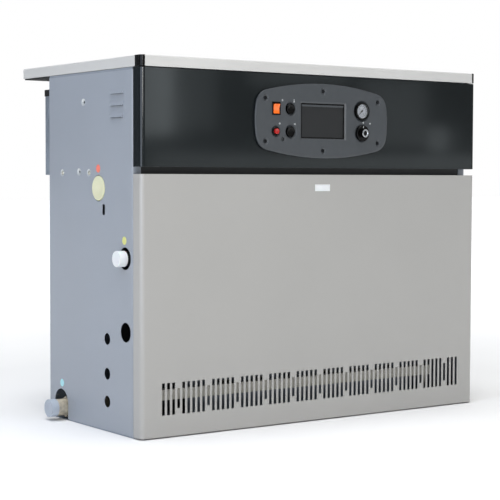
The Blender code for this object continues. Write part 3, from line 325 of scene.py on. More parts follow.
def make_finishes():
    return {
        # Polyester powder coat, baked: satin, with a fine orange peel.
        "side_coat": surface("cool_grey_powder_coat", "#9aa1ab", 0.38, tone=0.03, patch=220,
            grain=0.03, grit=2.2, extra=clear_coat(0.3, 0.2)),
        "lid_coat": surface("pale_grey_powder_coat", "#cdcdcb", 0.36, tone=0.02, patch=220,
            grain=0.03, grit=2.2),
        "door_coat": surface("warm_silver_powder_coat", "#acaba8", 0.36, tone=0.02, patch=300,
            grain=0.02, grit=1.6, extra=clear_coat(0.5, 0.18)),
        # Hot-dip galvanised sheet: a soft metal sheen with a frost of zinc crystals.
        "galvanised": surface("galvanised_sheet", "#8f99a5", 0.42, metallic=0.5, tone=0.10,
            patch=40, grain=0.02, grit=3, spangle=0.35, rough_swing=0.10),
        "zinc_plate": surface("zinc_plated_steel", "#b9b7ae", 0.36, metallic=0.9, tone=0.06,
            patch=30, grain=0.01, grit=0.8, stretch=(0.15, 1, 1)),
        # Injection-moulded ABS and polycarbonate.
        "piano_black": surface("gloss_black_polycarbonate", "#171c1e", 0.085, tone=0.04, patch=120,
            grain=0, rough_swing=0.01),
        "black_satin": surface("satin_black_abs", "#020202", 0.22, tone=0.08, patch=10, grain=0.01,
            grit=0.5, extra={"Specular IOR Level": 0.25}),
        "black_grained": surface("grained_black_abs", "#15171a", 0.42, tone=0.10, patch=12,
            grain=0.02, grit=0.5),
        "slate_grained": surface("grained_slate_grey_abs", "#44484c", 0.33, tone=0.05, patch=16,
            grain=0.03, grit=0.6),
        "blank_grained": surface("grained_charcoal_abs", "#1b1d1f", 0.40, tone=0.06, patch=14,
            grain=0.02, grit=0.6),
        "white_moulded": surface("white_polypropylene", "#eceef0", 0.34, tone=0.03, patch=20,
            grain=0.01, grit=1.5, extra=WAXY),
        "cream_moulded": surface("cream_polypropylene", "#e2e2c0", 0.38, tone=0.04, patch=25,
            grain=0.01, grit=1.5, extra=WAXY),
        "pale_moulded": surface("grey_blue_polypropylene", "#b3bcc8", 0.38, tone=0.04, patch=20,
            grain=0.01, grit=1.5),
        "orange_lens": surface("clear_orange_polycarbonate", "#f26a12", 0.16, tone=0.06, patch=6,
            grain=0, extra={"Emission Color": linear("#f26a12"), "Emission Strength": 0.25,
            "Coat Weight": 0.6}),
        "red_lens": surface("clear_red_polycarbonate", "#b01d1a", 0.14, tone=0.06, patch=5, grain=0,
            extra={"Coat Weight": 0.6}),
        "printed_white": surface("screen_printed_white_ink", "#d8dcde", 0.5, tone=0.05, patch=5,
            grain=0.004, grit=0.4),
        "dial_card": surface("printed_silver_dial", "#d0d5dc", 0.45, tone=0.05, patch=8,
            grain=0.004, grit=0.6),
        "printed_black": surface("screen_printed_black_ink", "#17181a", 0.5, tone=0.05, patch=5,
            grain=0.004, grit=0.4),
        "needle_paint": surface("black_enamel_needle", "#2a2020", 0.35, tone=0.04, patch=5,
            grain=0),
        "clear_lens": surface("clear_acrylic", "#ffffff", 0.03, tone=0.0, patch=50, grain=0,
            rough_swing=0.01, extra={"Transmission Weight": 1.0, "IOR": 1.49}),
        "chrome": surface("bright_chromed_abs", "#e3e5e8", 0.08, metallic=1.0, tone=0.02, patch=10,
            grain=0.002, grit=2, rough_swing=0.02),
        "screw_black": surface("blackened_steel_screw", "#26282b", 0.34, metallic=0.8, tone=0.10,
            patch=4, grain=0.01, grit=0.5),
        "screw_zinc": surface("zinc_plated_screw", "#c3c1b6", 0.30, metallic=0.95, tone=0.08,
            patch=4, grain=0.01, grit=0.5),
        # Inside: iron as cast in sand, drawn and pressed steel, brass, glass wool.
        "cast_iron": surface("grey_cast_iron", "#47474a", 0.72, metallic=0.35, tone=0.18, patch=18,
            grain=0.30, grit=2.4, rough_swing=0.10),
        "drawn_steel": surface("black_drawn_steel_pipe", "#4d4c4b", 0.46, metallic=0.9, tone=0.12,
            patch=14, grain=0.02, grit=0.7, stretch=(0.1, 1, 1)),
        "stainless": surface("pressed_stainless_steel", "#b9b4ac", 0.30, metallic=1.0, tone=0.06,
            patch=20, grain=0.01, grit=0.6, stretch=(1, 0.1, 1)),
        # Pale zinc, kept lighter than the panel as a painted highlight on the screw dimples.
        "pale_zinc_and_highlight": surface("zinc_cup_washer_and_highlight", "#ccd0d2", 0.35, metallic=0.3, tone=0.05,
            patch=6, grain=0.01, grit=0.8),
        "aged_zinc": surface("aged_zinc_plating", "#c4bba8", 0.5, metallic=0.5, tone=0.2, patch=7,
            grain=0.05, grit=1.5),
        "dull_brass": surface("turned_brass", "#9c8a6c", 0.42, metallic=0.7, tone=0.10, patch=12,
            grain=0.02, grit=0.6),
        # The side panel's grey, darker, as painted shade for the strip under the lid's flange.
        "panel_grey_painted_shade": surface("panel_grey_in_painted_shade", "#8d949d", 0.8, tone=0.06, patch=12, grain=0.2,
            grit=2),
        # Black foam, also used as painted shade under the lid's overhang, in the lid and on the
        # hood.
        "foam": surface("black_foam_and_painted_shade", "#0d0e0f", 0.9, tone=0.15, patch=6, grain=0.5,
            grit=2.5),
        "quilt": surface("foil_faced_glass_wool", "#c6c7c5", 0.38, metallic=0.7, tone=0.10,
            patch=25, grain=1.2, grit=9, rough_swing=0.12),
        "mark_red": surface("red_paint_mark", "#f4806c", 0.5, tone=0.05, patch=5, grain=0.01,
            grit=0.6),
        "mark_lime": surface("lime_paint_mark", "#dfe08a", 0.5, tone=0.05, patch=5, grain=0.01,
            grit=0.6),
        "mark_cyan": surface("pale_cyan_paint_mark", "#b8eff6", 0.5, tone=0.05, patch=5, grain=0.01,
            grit=0.6),
    }


FINISHES = make_finishes()
SLOT_OF = {s["node"]: s["material_slot"] for s in frame["record"]["subparts"]}
SLOT_FINISH = {
    "side_paint": "side_coat", "door_paint": "door_coat", "zinc": "galvanised",
    "black_gloss": "piano_black", "black_plastic": "black_grained", "grey_plastic": "slate_grained",
    "blank_plastic": "blank_grained", "orange_plastic": "orange_lens", "red_plastic": "red_lens",
    "white_plastic": "white_moulded", "cream_plastic": "cream_moulded",
    "pale_plastic": "pale_moulded", "clear": "clear_lens", "cast_iron": "cast_iron",
    "steel": "drawn_steel", "stainless": "stainless", "brass": "dull_brass",
}


def finish_nodes():
    """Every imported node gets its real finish, also those that a reworked copy replaces."""
    for name, node in frame["nodes"].items():
        finish = FINISHES[SLOT_FINISH[SLOT_OF[name]]]
        for slot in node.material_slots:
            slot.material = finish


# ---- Casing ---------------------------------------------------------------------------------
# Places on a side panel: depth behind the front plane, height.
PANEL_HOLES = ((0.363, 0.592), (0.281, 0.594), (0.234, 0.592), (0.259, 0.7555))
HOLES_WITH_SCREWS = (1, 3)
KNOCK_OUT = (0.3165, 0.042)
PAINT_MARKS = (("mark_flow", 0.190, 0.6015, "mark_red"), ("mark_gas", 0.0725, 0.440, "mark_lime"),
               ("mark_return", 0.3675, 0.0876, "mark_cyan"))


def make_lid():
    low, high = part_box("top_cover")
    lid = reworked("top_cover", "lid_sheet")
    # The sheet rolls over from its top into the flange.
    rolled(lid, 3.4, 5, lambda p: p.z > high.z - NEAR and (
        min(abs(p.x - low.x), abs(p.x - high.x)) < NEAR
        or p.y < low.y + NEAR or p.y > high.y - NEAR))
    show(rounded(lid, 0.35, 1, 50), "lid", "lid_coat", "top_cover")
    for word, side in (("left", -1), ("right", 1)):
        node = f"lid_corner_{word}"
        corner = reworked(node, f"corner_block_{word}")
        low_c, high_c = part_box(node)
        outer = low_c.x if side < 0 else high_c.x
        # Two grooves down the side of the block.
        for y in (0.009, 0.018):
            x0, x1 = sorted((outer + side * MM, outer - side * 0.8 * MM))
            cut(corner, block("groove", (x0, low_c.y + y, low_c.z - MM),
                              (x1, low_c.y + y + 2.2 * MM, high_c.z - 2 * MM)))
        show(rounded(corner, 0.9, 3), "lid", "black_satin", node)
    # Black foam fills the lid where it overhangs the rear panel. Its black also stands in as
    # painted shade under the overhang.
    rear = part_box("rear_panel")[1].y
    foam = block("lid_foam_painted_shade", (low.x + 2.5 * MM, rear + 1.5 * MM, low.z - 3.0 * MM),
                 (high.x - 2.5 * MM, high.y - 2.5 * MM, low.z - 0.1 * MM))
    show(rounded(foam, 0.5, 2), "lid", "foam")


def make_sides():
    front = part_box("front_door")[0].y
    for word, side in (("left", -1), ("right", 1)):
        node = f"side_panel_{word}"
        low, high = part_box(node)
        panel = reworked(node, f"side_sheet_{word}")
        face = side * HALF_WIDTH
        for i, (d, z) in enumerate(PANEL_HOLES, 1):
            make_dimple(panel, f"dimple_{word}_{i}", (face, front + d, z), side,
                        i in HOLES_WITH_SCREWS)
        if side < 0:
            # A knock-out that is still in place, cut part of the way through.
            ring = [(14.3, -1), (15.5, -1), (15.5, 0.35), (14.3, 0.35)]
            cut(panel, turned("ring", ring, "X", (face, front + KNOCK_OUT[0], KNOCK_OUT[1]), 48))
        tidy(panel)
        # The folds at the front and at the back have a small radius.
        rolled(panel, 2.0, 4, lambda p: abs(p.x - face) < NEAR and
               (p.y < low.y + NEAR or p.y > high.y - NEAR))
        # The smoothing angle is under the louvres' slope, which keeps their edges.
        show(smoothed(rounded(panel, 0.25, 1, 50), 24), "boiler", "side_coat", node)
        # A strip closes the gap between the panel and the lid's flange. Its grey is the panel's
        # paint made darker as painted shade, so the gap reads as panel and not as a dark line.
        inner, outer = sorted((face - side * 0.9 * MM, face - side * 8 * MM))
        strip = block(f"edge_strip_{word}", (inner, low.y + 3 * MM, high.z - 4 * MM),
                      (outer, high.y - 3 * MM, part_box("top_cover")[0].z - 0.9 * MM))
        cut(strip, block("fold", (inner - MM, low.y, high.z - 5 * MM),
                         (outer + MM, high.y, high.z + 0.02 * MM)))
        show(strip, "boiler", "panel_grey_painted_shade")
    for name, d, z, finish in PAINT_MARKS:
        profile = [(0, -0.22), (8.8, -0.22), (9.3, -0.1), (9.3, -0.01), (0, -0.01)]
        show(turned(name, profile, "X", (-HALF_WIDTH, front + d, z), 48), "boiler", finish)


def make_dimple(panel, name, place, side, screwed):
    """A dished screw seat in a side panel, as the press leaves it, with or without its screw. The
    dish is pale zinc, lighter than the panel: plated metal, and also a painted highlight for the
    lit dimple.
    """
    inward = -side
    wide, hole = 8.6, 3.4
    cut(panel, turned("opening", [(0, -inward), (wide, -inward), (wide, 3 * inward),
                                  (0, 3 * inward)], "X", place, 40))
    dish = [(wide + 0.02, 0.0), (wide - 0.8, 0.12), (hole + 1.6, 1.9), (hole, 2.1), (hole, 3.1),
            (hole + 1.2, 3.1), (wide + 0.02, 1.2)]
    show(turned(name, [(r, a * inward) for r, a in dish], "X", place, 40), "boiler", "pale_zinc_and_highlight")
    if screwed:
        seat = Vector(place) + AXES["X"] * (inward * 1.9 * MM)
        show(screw_head(f"{name}_screw", seat, 5.0, "X", side), "boiler", "screw_zinc")


def make_door():
    door = reworked("front_door", "door_sheet")
    show(rounded(door, 0.8, 2, 50), "door", "door_coat", "front_door")
    badge = reworked("door_badge", "badge_label")
    show(rounded(badge, 0.35), "door", "white_moulded", "door_badge")
    low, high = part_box("door_badge")
    inset = 2.2 * MM
    line = block("line", (low.x + inset, low.y - 0.12 * MM, low.z + inset),
                 (high.x - inset, low.y - 0.01 * MM, high.z - inset))
    thin = 0.5 * MM
    cut(line, block("inner", (low.x + inset + thin, low.y - MM, low.z + inset + thin),
                    (high.x - inset - thin, low.y + MM, high.z - inset - thin)))
    show(line, "door", "dial_card")
    rail = reworked("front_cross_rail", "rail_sheet")
    show(rounded(rail, 0.4), "boiler", "black_grained", "front_cross_rail")


def make_fascia():
    low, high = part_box("control_fascia")
    fascia = reworked("control_fascia", "fascia_moulding")
    rolled(fascia, 4.0, 6, lambda p: p.y < low.y + NEAR and (
        p.x < low.x + NEAR or p.x > high.x - NEAR))
    show(rounded(fascia, 0.8, 3), "boiler", "piano_black", "control_fascia")


# ---- Control plate --------------------------------------------------------------------------
# Countersinks round the controls: node, mouth radius, throat radius and depth in mm.
WELLS = (("reset_cap_upper", 17.0, 13.0, 4.0), ("reset_cap_lower", 17.0, 13.0, 4.0),
         ("lockout_bezel", 13.4, 9.6, 3.4), ("gauge_case", 25.6, 20.3, 4.4),
         ("thermostat_knob", 21.5, 18.0, 2.4))
SMALL_HOLE = (-0.119, -0.0445)  # from the plate's middle
SCREW_SINK = 3.2  # mm from the plate's face back to a screw's seat
PAINTED_SHADE_WALL_NORMAL = 0.3  # a face whose normal leans forwards by less than this is a wall, painted black as shade


def funnel(name, spot, face, mouth, throat, depth):
    """A countersink cutter in the front face. Sizes in mm."""
    profile = [(0, -1), (mouth, -1), (mouth, 0), (throat, depth), (0, depth)]
    return turned(name, profile, "Y", (spot[0], face, spot[1]), 40)


def make_plate():
    low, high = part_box("control_plate")
    centre, face = (low + high) / 2, low.y
    plate = reworked("control_plate", "plate_moulding")
    for node, mouth, throat, depth in WELLS:
        m = middle(node)
        cut(plate, funnel("well", (m.x, m.z), face, mouth, throat, depth))
    # Window with a broad chamfer towards the blanking plate.
    w_low, w_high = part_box("regulator_blank")
    half_w, half_h = (w_high.x - w_low.x) / 2, (w_high.z - w_low.z) / 2
    splay = 5.5 * MM
    tool = block("window", (centre.x - half_w - splay, face - MM, centre.z - half_h - splay),
                 (centre.x + half_w + splay, face + 3.6 * MM, centre.z + half_h + splay))
    unpicked(tool)
    for vertex in tool.data.vertices:
        vertex.select = vertex.co.y > face
    bpy.ops.object.mode_set(mode="EDIT")
    bpy.ops.transform.resize(value=((half_w - MM) / (half_w + splay), 1,
                                    (half_h - MM) / (half_h + splay)),
                             center_override=(centre.x, face, centre.z))
    leave()
    cut(plate, tool)
    for x, z in plate_screw_spots(centre):
        hole = turned("countersink", [(0, -1), (8.0, -1), (8.0, 0), (4.6, 3.0), (4.6, 3.6),
                                      (0, 3.6)], "Y", (x, face, z), 32)
        cut(plate, hole)
    cut(plate, turned("small_hole", [(0, -1), (6.6, -1), (6.6, 0), (4.2, 1.8), (4.2, 5), (0, 5)],
                      "Y", (centre.x + SMALL_HOLE[0], face, centre.z + SMALL_HOLE[1]), 32))
    tidy(plate)
    # A low smoothing angle keeps the splays and the rim crisp against the flat face.
    show(smoothed(rounded(plate, 0.4, 1, 25), 12), "boiler", "slate_grained", "control_plate")
    # The walls that run back from the face are painted black: painted shade for the dark outline
    # round the plate and inside its holes and window.
    plate.data.materials.append(FINISHES["black_satin"])
    for polygon in plate.data.polygons:
        if abs(polygon.normal.y) < PAINTED_SHADE_WALL_NORMAL:
            polygon.material_index = 1
    make_plate_screws(centre, face)
    make_icons(face)


def plate_screw_spots(centre):
    wide, tall, end = 0.169, 0.050, 0.0705
    spots = [(centre.x + x, centre.z + z) for x in (-wide, wide) for z in (-tall, tall)]
    return spots + [(centre.x, centre.z - end), (centre.x, centre.z + end)]


def screw_head(name, place, radius, axis="Y", sign=-1, cross=True):
    """A pan-head screw whose head stands out along the axis. Sizes in mm."""
    r = radius
    profile = [(0, sign * 0.62 * r), (0.45 * r, sign * 0.58 * r), (0.8 * r, sign * 0.42 * r),
               (r, sign * 0.12 * r), (r, 0.0), (0.45 * r, 0.0), (0.45 * r, -sign * 0.9 * r),
               (0, -sign * 0.9 * r)]
    head = turned(name, profile, axis, place, 24)
    if cross:
        along = AXES[axis]
        others = [v for k, v in AXES.items() if k != axis]
        p = Vector(place) + along * (sign * 0.6 * r * MM)
        for a, b in (others, others[::-1]):
            reach = a * (0.55 * r * MM) + b * (0.11 * r * MM) + along * (0.3 * r * MM)
            reach = Vector(abs(c) for c in reach)
            cut(head, block("slot", p - reach, p + reach))
        smoothed(head)
    return head


def make_plate_screws(centre, face):
    spots = plate_screw_spots(centre)
    first = screw_head("plate_screw_1", (spots[0][0], face + SCREW_SINK * MM, spots[0][1]), 3.9)
    for i, (x, z) in enumerate(spots[1:], 2):
        screw = copied(first, f"plate_screw_{i}", (x - spots[0][0], 0, z - spots[0][1]))
        show(screw, "boiler", "screw_black")
    show(first, "boiler", "screw_black")


def inked(name, x, z, face, marks):
    """A small printed symbol: bars and rings on the plate's face. Sizes in mm."""
    shapes = []
    for mark in marks:
        if mark[0] == "bar":
            _, a, b, wide, tall = mark
            shapes.append(block("bar", (x + (a - wide / 2) * MM, face - PRINT_OUT * MM,
                                        z + (b - tall / 2) * MM),
                                (x + (a + wide / 2) * MM, face + PRINT_IN * MM,
                                 z + (b + tall / 2) * MM)))
        else:
            _, a, b, outer, inner = mark
            profile = [(inner, -PRINT_OUT), (outer, -PRINT_OUT), (outer, PRINT_IN),
                       (inner, PRINT_IN)]
            shapes.append(turned("ring", profile, "Y", (x + a * MM, face, z + b * MM), 24))
    show(joined(name, shapes), "boiler", "printed_white")


def make_icons(face):
    """Generic symbols beside the controls: mains, flame out, limit reset, pressure, temperature."""
    ring = ("ring", 0, 0, 2.2, 1.4)
    inked("symbol_mains", -0.122, 0.762, face, [("ring", 0, -0.4, 2.0, 1.2),
                                                ("bar", 0, 1.4, 0.7, 2.4)])
    inked("symbol_limit_upper", -0.088, 0.7615, face, [("bar", 0, 1.0, 1.5, 5.2),
                                                       ("ring", 0, -2.2, 1.7, 0.001)])
    inked("symbol_flame", -0.1295, 0.7075, face, [ring, ("bar", 0, 0, 4.6, 0.6)])
    inked("symbol_limit_lower", -0.086, 0.7075, face, [("bar", -0.4, 0, 3.4, 1.8),
                                                       ("bar", 2.0, -0.4, 0.9, 3.0)])
    inked("symbol_pressure", 0.122, 0.7152, face, [ring, ("bar", 0, 0, 0.6, 2.4)])
    inked("symbol_heat", 0.143, 0.7135, face, [("bar", -1.6, 0, 0.9, 3.6), ("bar", 0, 0, 0.9, 3.6),
                                             ("bar", 1.6, 0, 0.9, 3.6)])


def make_blank():
    blank = reworked("regulator_blank", "window_blank")
    show(rounded(blank, 0.4), "boiler", "blank_grained", "regulator_blank")
    low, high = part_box("regulator_blank")
    # A finger ledge stands up along the top of the blanking plate. It gets the plate's lighter
    # grey, not the blank's, as a painted highlight on its lit top.
    ledge = block("blank_ledge", (low.x + 2.5 * MM, low.y - 2.0 * MM, high.z - 7.5 * MM),
                  (high.x - 2.5 * MM, low.y + 0.1 * MM, high.z - 3.0 * MM))
    show(rounded(ledge, 0.8, 3), "boiler", "slate_grained")
    # A black gasket lines the window round the blanking plate. Its black also stands in as painted
    # shade for the depth of the window.
    gasket = block("window_gasket_painted_shade", (low.x - 0.2 * MM, low.y - 0.9 * MM, low.z - 0.2 * MM),
                   (high.x + 0.2 * MM, low.y - 0.02 * MM, high.z + 0.2 * MM))
    cut(gasket, block("inner", (low.x + 2.6 * MM, low.y - 2 * MM, low.z + 2.6 * MM),
                      (high.x - 2.6 * MM, low.y + MM, high.z - 2.6 * MM)))
    show(gasket, "boiler", "black_satin")


def make_rocker():
    frame_piece = reworked("rocker_frame", "rocker_bezel")
    show(rounded(frame_piece, 0.5), "boiler", "black_satin", "rocker_frame")
    low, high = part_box("rocker_switch")
    rocker = reworked("rocker_switch", "rocker_key")
    # Two shallow flutes run down the key.
    for share in (0.36, 0.64):
        x = low.x + (high.x - low.x) * share
        cut(rocker, block("flute", (x - 0.5 * MM, low.y - MM, low.z - MM),
                          (x + 0.5 * MM, low.y + 2.2 * MM, high.z + MM)))
    tidy(rocker)
    show(rounded(rocker, 0.4), "rocker", "orange_lens", "rocker_switch")


def make_lockout():
    low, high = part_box("lockout_bezel")
    spot = (middle("lockout_bezel").x, 0, middle("lockout_bezel").z)
    face = low.y / MM
    back = high.y / MM
    rim = (high.x - low.x) / 2 / MM
    b_low, b_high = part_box("lockout_button")
    r = (b_high.x - b_low.x) / 2 / MM
    hole = r + 0.3
    bezel = turned("lockout_ring", [(hole, face + 0.5), (hole + 0.5, face), (rim - 0.6, face),
                                    (rim, face + 0.6), (rim, face + 1.2), (rim - 1.3, face + 1.2),
                                    (rim - 1.3, back), (hole, back)], "Y", spot)
    show(bezel, "boiler", "black_satin", "lockout_bezel")
    tip, end = b_low.y / MM, b_high.y / MM
    dome = [(0, tip + 0.5), (r * 0.4, tip + 0.42), (r * 0.72, tip + 0.1), (r * 0.84, tip),
            (r - 0.35, tip + 0.15), (r, tip + 0.7), (r, end), (0, end)]
    show(turned("lockout_key", dome, "Y", spot), "lockout", "red_lens", "lockout_button")


def make_caps():
    for word in ("upper", "lower"):
        node = f"reset_cap_{word}"
        low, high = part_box(node)
        m = (low + high) / 2
        r, face, end = (high.x - low.x) / 2 / MM, low.y / MM, high.y / MM
        bore = r - 3
        cap = turned(f"screw_cap_{word}", [(0, face + 1.4), (r * 0.52, face + 1.2),
                                           (r * 0.66, face + 0.3), (r * 0.74, face),
                                           (r - 0.9, face), (r, face + 0.9), (r, end), (bore, end),
                                           (bore, face + 4.5), (0, face + 4.5)], "Y", (m.x, 0, m.z),
                     60)
        # Knurls: every other strip of the rim stands in by a little.
        unpicked(cap)
        for polygon in cap.data.polygons:
            out = Vector((polygon.center.x - m.x, 0, polygon.center.z - m.z))
            turn = math.degrees(math.atan2(out.z, out.x)) % 12
            polygon.select = (turn < 6 and out.length > (r - 0.6) * MM
                              and abs(polygon.normal.y) < 0.9)
        bpy.ops.object.mode_set(mode="EDIT")
        bpy.ops.mesh.inset(thickness=0.12 * MM, depth=-0.35 * MM)
        leave()
        show(smoothed(cap, 25), f"{word}_reset_cap", "black_satin", node)


def make_gauge():
    low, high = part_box("gauge_case")
    m = middle("gauge_case")
    spot = (m.x, 0, m.z)
    r, face, end = (high.x - low.x) / 2 / MM, low.y / MM, high.y / MM
    lens_low, lens_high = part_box("gauge_lens")
    bore = (lens_high.x - lens_low.x) / 2 / MM + 0.3
    needle_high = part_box("gauge_needle")[1]
    well = needle_high.y / MM + 0.3
    stem = r - 2
    bezel = [(bore, face + 0.9), (bore + 0.5, face + 0.3), (r - 1.6, face), (r - 0.5, face + 0.3),
             (r, face + 1.2), (r, face + 3.7), (stem, face + 3.7), (stem, end), (0, end), (0, well),
             (bore, well)]
    show(turned("gauge_bezel", bezel, "Y", spot, 64), "boiler", "black_satin", "gauge_case")
    level = well - 0.16
    dial = turned("gauge_dial", [(0, level), (bore - 0.3, level), (bore - 0.3, well - 0.02),
                                 (0, well - 0.02)], "Y", spot, 64)
    show(dial, "boiler", "dial_card")
    make_dial_print(m, level)
    needle = reworked("gauge_needle", "gauge_pointer")
    show(needle, "needle", "needle_paint", "gauge_needle")
    front, back = lens_low.y / MM, lens_high.y / MM
    r = bore - 0.3
    lens = [(0, front - 0.1), (r * 0.5, front), (r - 0.3, front + 0.2), (r, front + 0.4), (r, back),
            (0, back)]
    show(turned("gauge_glass", lens, "Y", spot, 64), "boiler", "clear_lens", "gauge_lens")


SWEEP, STEPS = 270, 12  # degrees of the gauge's scale, and its steps
NUMBER_RADIUS = 8.6 * MM


def make_dial_print(m, level):
    """Ticks over 270 degrees and generic numbers, printed on the dial."""
    front, back = (level - 0.05) * MM, (level + 0.02) * MM
    tick = block("tick", (m.x - 0.28 * MM, front, m.z + 13.0 * MM),
                 (m.x + 0.28 * MM, back, m.z + 16.0 * MM))
    ticks = [copied(tick, f"tick_{i}", (0, 0, 0), m, SWEEP * (i / STEPS - 0.5))
             for i in range(STEPS + 1)]
    bpy.data.objects.remove(tick)
    show(joined("dial_ticks", ticks), "boiler", "printed_black")
    arc = turned("dial_arc", [(12.4, level - 0.05), (12.8, level - 0.05), (12.8, level + 0.02),
                              (12.4, level + 0.02)], "Y", (m.x, 0, m.z), 64)
    show(arc, "boiler", "printed_black")
    for i, word in enumerate(("0", "2", "4", "6")):
        turn = math.radians(225 - 90 * i)
        pick_none()
        bpy.ops.object.text_add()
        text = bpy.context.view_layer.objects.active
        text.data.body = word
        text.data.size = 4.6 * MM
        text.data.extrude = 0.02 * MM
        text.data.align_x = "CENTER"
        text.data.align_y = "CENTER"
        text.rotation_euler = (math.pi / 2, 0, 0)
        text.location = (m.x + NUMBER_RADIUS * math.cos(turn), (level - 0.02) * MM,
                         m.z + NUMBER_RADIUS * math.sin(turn))
        bpy.ops.object.convert(target="MESH")
        bpy.ops.object.transform_apply(location=True, rotation=True, scale=True)
        show(named(bpy.context.view_layer.objects.active, f"dial_number_{i + 1}"), "boiler",
             "printed_black")


def make_knob():
    low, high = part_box("thermostat_knob")
    m = middle("thermostat_knob")
    spot = (m.x, 0, m.z)
    r, face, end = (high.x - low.x) / 2 / MM, low.y / MM, high.y / MM
    hub, skirt = 11.0, end - 5.7
    bore = 3.3
    body = [(0, face + 1.0), (5.2, face + 1.0), (5.6, face + 0.6), (hub - 0.8, face),
            (hub, face + 0.7), (hub, skirt - 0.2), (hub + 0.8, skirt), (r - 0.8, skirt),
            (r, skirt + 0.8), (r, end), (bore, end), (bore, end - 6.2), (0, end - 6.2)]
    knob = turned("thermostat_grip", body, "Y", spot, 72)
    flutes = []
    count, out = 18, (hub + 0.75) * MM
    for i in range(count):
        turn = 2 * math.pi * i / count
        x, z = m.x + out * math.cos(turn), m.z + out * math.sin(turn)
        flutes.append(turned(f"flute_{i}", [(0, face - 1), (1.35, face - 1), (1.35, skirt - 0.9),
                                            (0, skirt - 0.3)], "Y", (x, 0, z), 12))
    cut(knob, joined("flutes", flutes))
    show(smoothed(knob, 30), "knob", "black_satin", "thermostat_knob")
    ring = turned("thermostat_ring", [(5.7, face + 0.55), (6.2, face - 0.25), (9.0, face - 0.25),
                                      (9.7, face + 0.3), (9.4, face + 0.8), (5.9, face + 0.8)], "Y",
                  spot, 64)
    show(ring, "knob", "chrome")
    line = block("thermostat_mark", (m.x - 0.6 * MM, (skirt - 0.12) * MM, m.z + 12.6 * MM),
                 (m.x + 0.6 * MM, (skirt + 0.02) * MM, m.z + (r - 1.4) * MM))
    show(line, "knob", "printed_white")
    shaft = reworked("boiler_thermostat", "thermostat_body")
    show(smoothed(shaft), "boiler", "zinc_plate", "boiler_thermostat")


# ---- Pipe stubs -----------------------------------------------------------------------------
# Caps: node, piece, finish, inner radius and the place of the pipe's end behind the lip, in mm.
CAPS = (("gas_cap", "gas_stub_cap", "white_moulded", 17.1, 1.7),
        ("flow_cap", "flow_stub_cap", "cream_moulded", 24.5, 3.7),
        ("return_cap", "return_stub_cap", "pale_moulded", 20.3, 1.7))


def make_stubs():
    for node, name, finish, bore, pipe_end in CAPS:
        low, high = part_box(node)
        m = (low + high) / 2
        r = (high.y - low.y) / 2 / MM
        lip, end = low.x / MM, high.x / MM
        dish = r * 0.74
        profile = [(0, lip + 0.9), (dish, lip + 0.8), (dish + 1.0, lip + 0.1), (r - 1.4, lip),
                   (r - 0.4, lip + 0.4), (r, lip + 1.4), (r, end - 2.6), (r + 0.001, end - 2.4),
                   (r, end - 0.4), (r - 0.3, end), (bore, end), (bore, lip + pipe_end),
                   (0, lip + pipe_end)]
        show(turned(name, profile, "X", (0, m.y, m.z), 64), "boiler", finish, node)
    for node, name, finish in (("gas_pipe", "gas_tube", "drawn_steel"),
                               ("flow_pipe", "flow_tube", "drawn_steel"),
                               ("return_pipe", "return_tube", "aged_zinc"),
                               ("drain_cock", "drain_tap", "dull_brass")):
        show(smoothed(reworked(node, name), 50), "boiler", finish, node)
    low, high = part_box("return_pipe")
    m = middle("return_cap")
    r = (high.y - low.y) / 2 / MM
    union = [(r + 0.05, -496), (r + 4.8, -496), (r + 5.8, -495), (r + 5.8, -487), (r + 4.8, -486),
             (r + 0.05, -486)]
    show(turned("return_union", union, "X", (0, m.y, m.z), 6), "boiler", "aged_zinc")
    show(rounded(reworked("drain_screw", "drain_thumbscrew"), 0.4), "drain_screw_body",
         "black_grained", "drain_screw")


# ---- Rear and inside ------------------------------------------------------------------------
def make_rear():
    hood = reworked("draught_hood", "hood_sheet")
    show(rounded(hood, 0.8, 2, 60), "boiler", "galvanised", "draught_hood")
    low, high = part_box("draught_hood")
    # Black sealing strip round the hood's top edge. Its black also stands in as painted shade under
    # the lid's overhang.
    strip = block("hood_seal_painted_shade", (low.x - 1.2 * MM, low.y + 2 * MM, high.z - 15 * MM),
                  (high.x + 1.2 * MM, high.y + 1.2 * MM, high.z + 1.2 * MM))
    cut(strip, block("inner", (low.x - 0.1 * MM, low.y - MM, high.z - 20 * MM),
                     (high.x + 0.1 * MM, high.y + 0.1 * MM, high.z + 0.1 * MM)))
    show(rounded(strip, 0.3), "boiler", "foam")
    s_low, s_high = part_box("flue_spigot")
    m = middle("flue_spigot")
    start, end = s_low.y / MM, s_high.y / MM
    face = high.y / MM
    r, t = 90.0, 1.5
    spigot = turned("spigot_collar", [(r - t, start), (r, start), (r, face + 0.3),
                                      (r + 10, face + 0.3), (r + 10, face + 0.3 + t),
                                      (r + 1, face + 0.3 + t), (r, face + 3.4), (r, face + 20),
                                      (r + 0.9, face + 22), (r, face + 24), (r, end), (r - t, end)],
                    "Y", (m.x, 0, m.z), 96)
    show(spigot, "boiler", "galvanised", "flue_spigot")
    rear = reworked("rear_panel", "rear_sheet")
    show(rounded(rear, 0.3, 1, 60), "boiler", "galvanised", "rear_panel")
    p_low, p_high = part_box("rear_panel")
    spots = []
    for z in (0.05, 0.25, 0.45, 0.72):
        spots += [(p_low.x + 0.02, p_high.y, z), (p_high.x - 0.02, p_high.y, z)]
    for x in (-0.30, 0.0, 0.30):
        spots.append((x, p_high.y, 0.05))
    for x in (low.x + 0.03, low.x + 0.22, high.x - 0.22, high.x - 0.03):
        for z in (low.z + 0.018, high.z - 0.032):
            spots.append((x, high.y, z))
    first = screw_head("case_screw_1", spots[0], 4.6, "Y", 1)
    for i, place in enumerate(spots[1:], 2):
        show(copied(first, f"case_screw_{i}", Vector(place) - Vector(spots[0])), "boiler",
             "screw_zinc")
    show(first, "boiler", "screw_zinc")


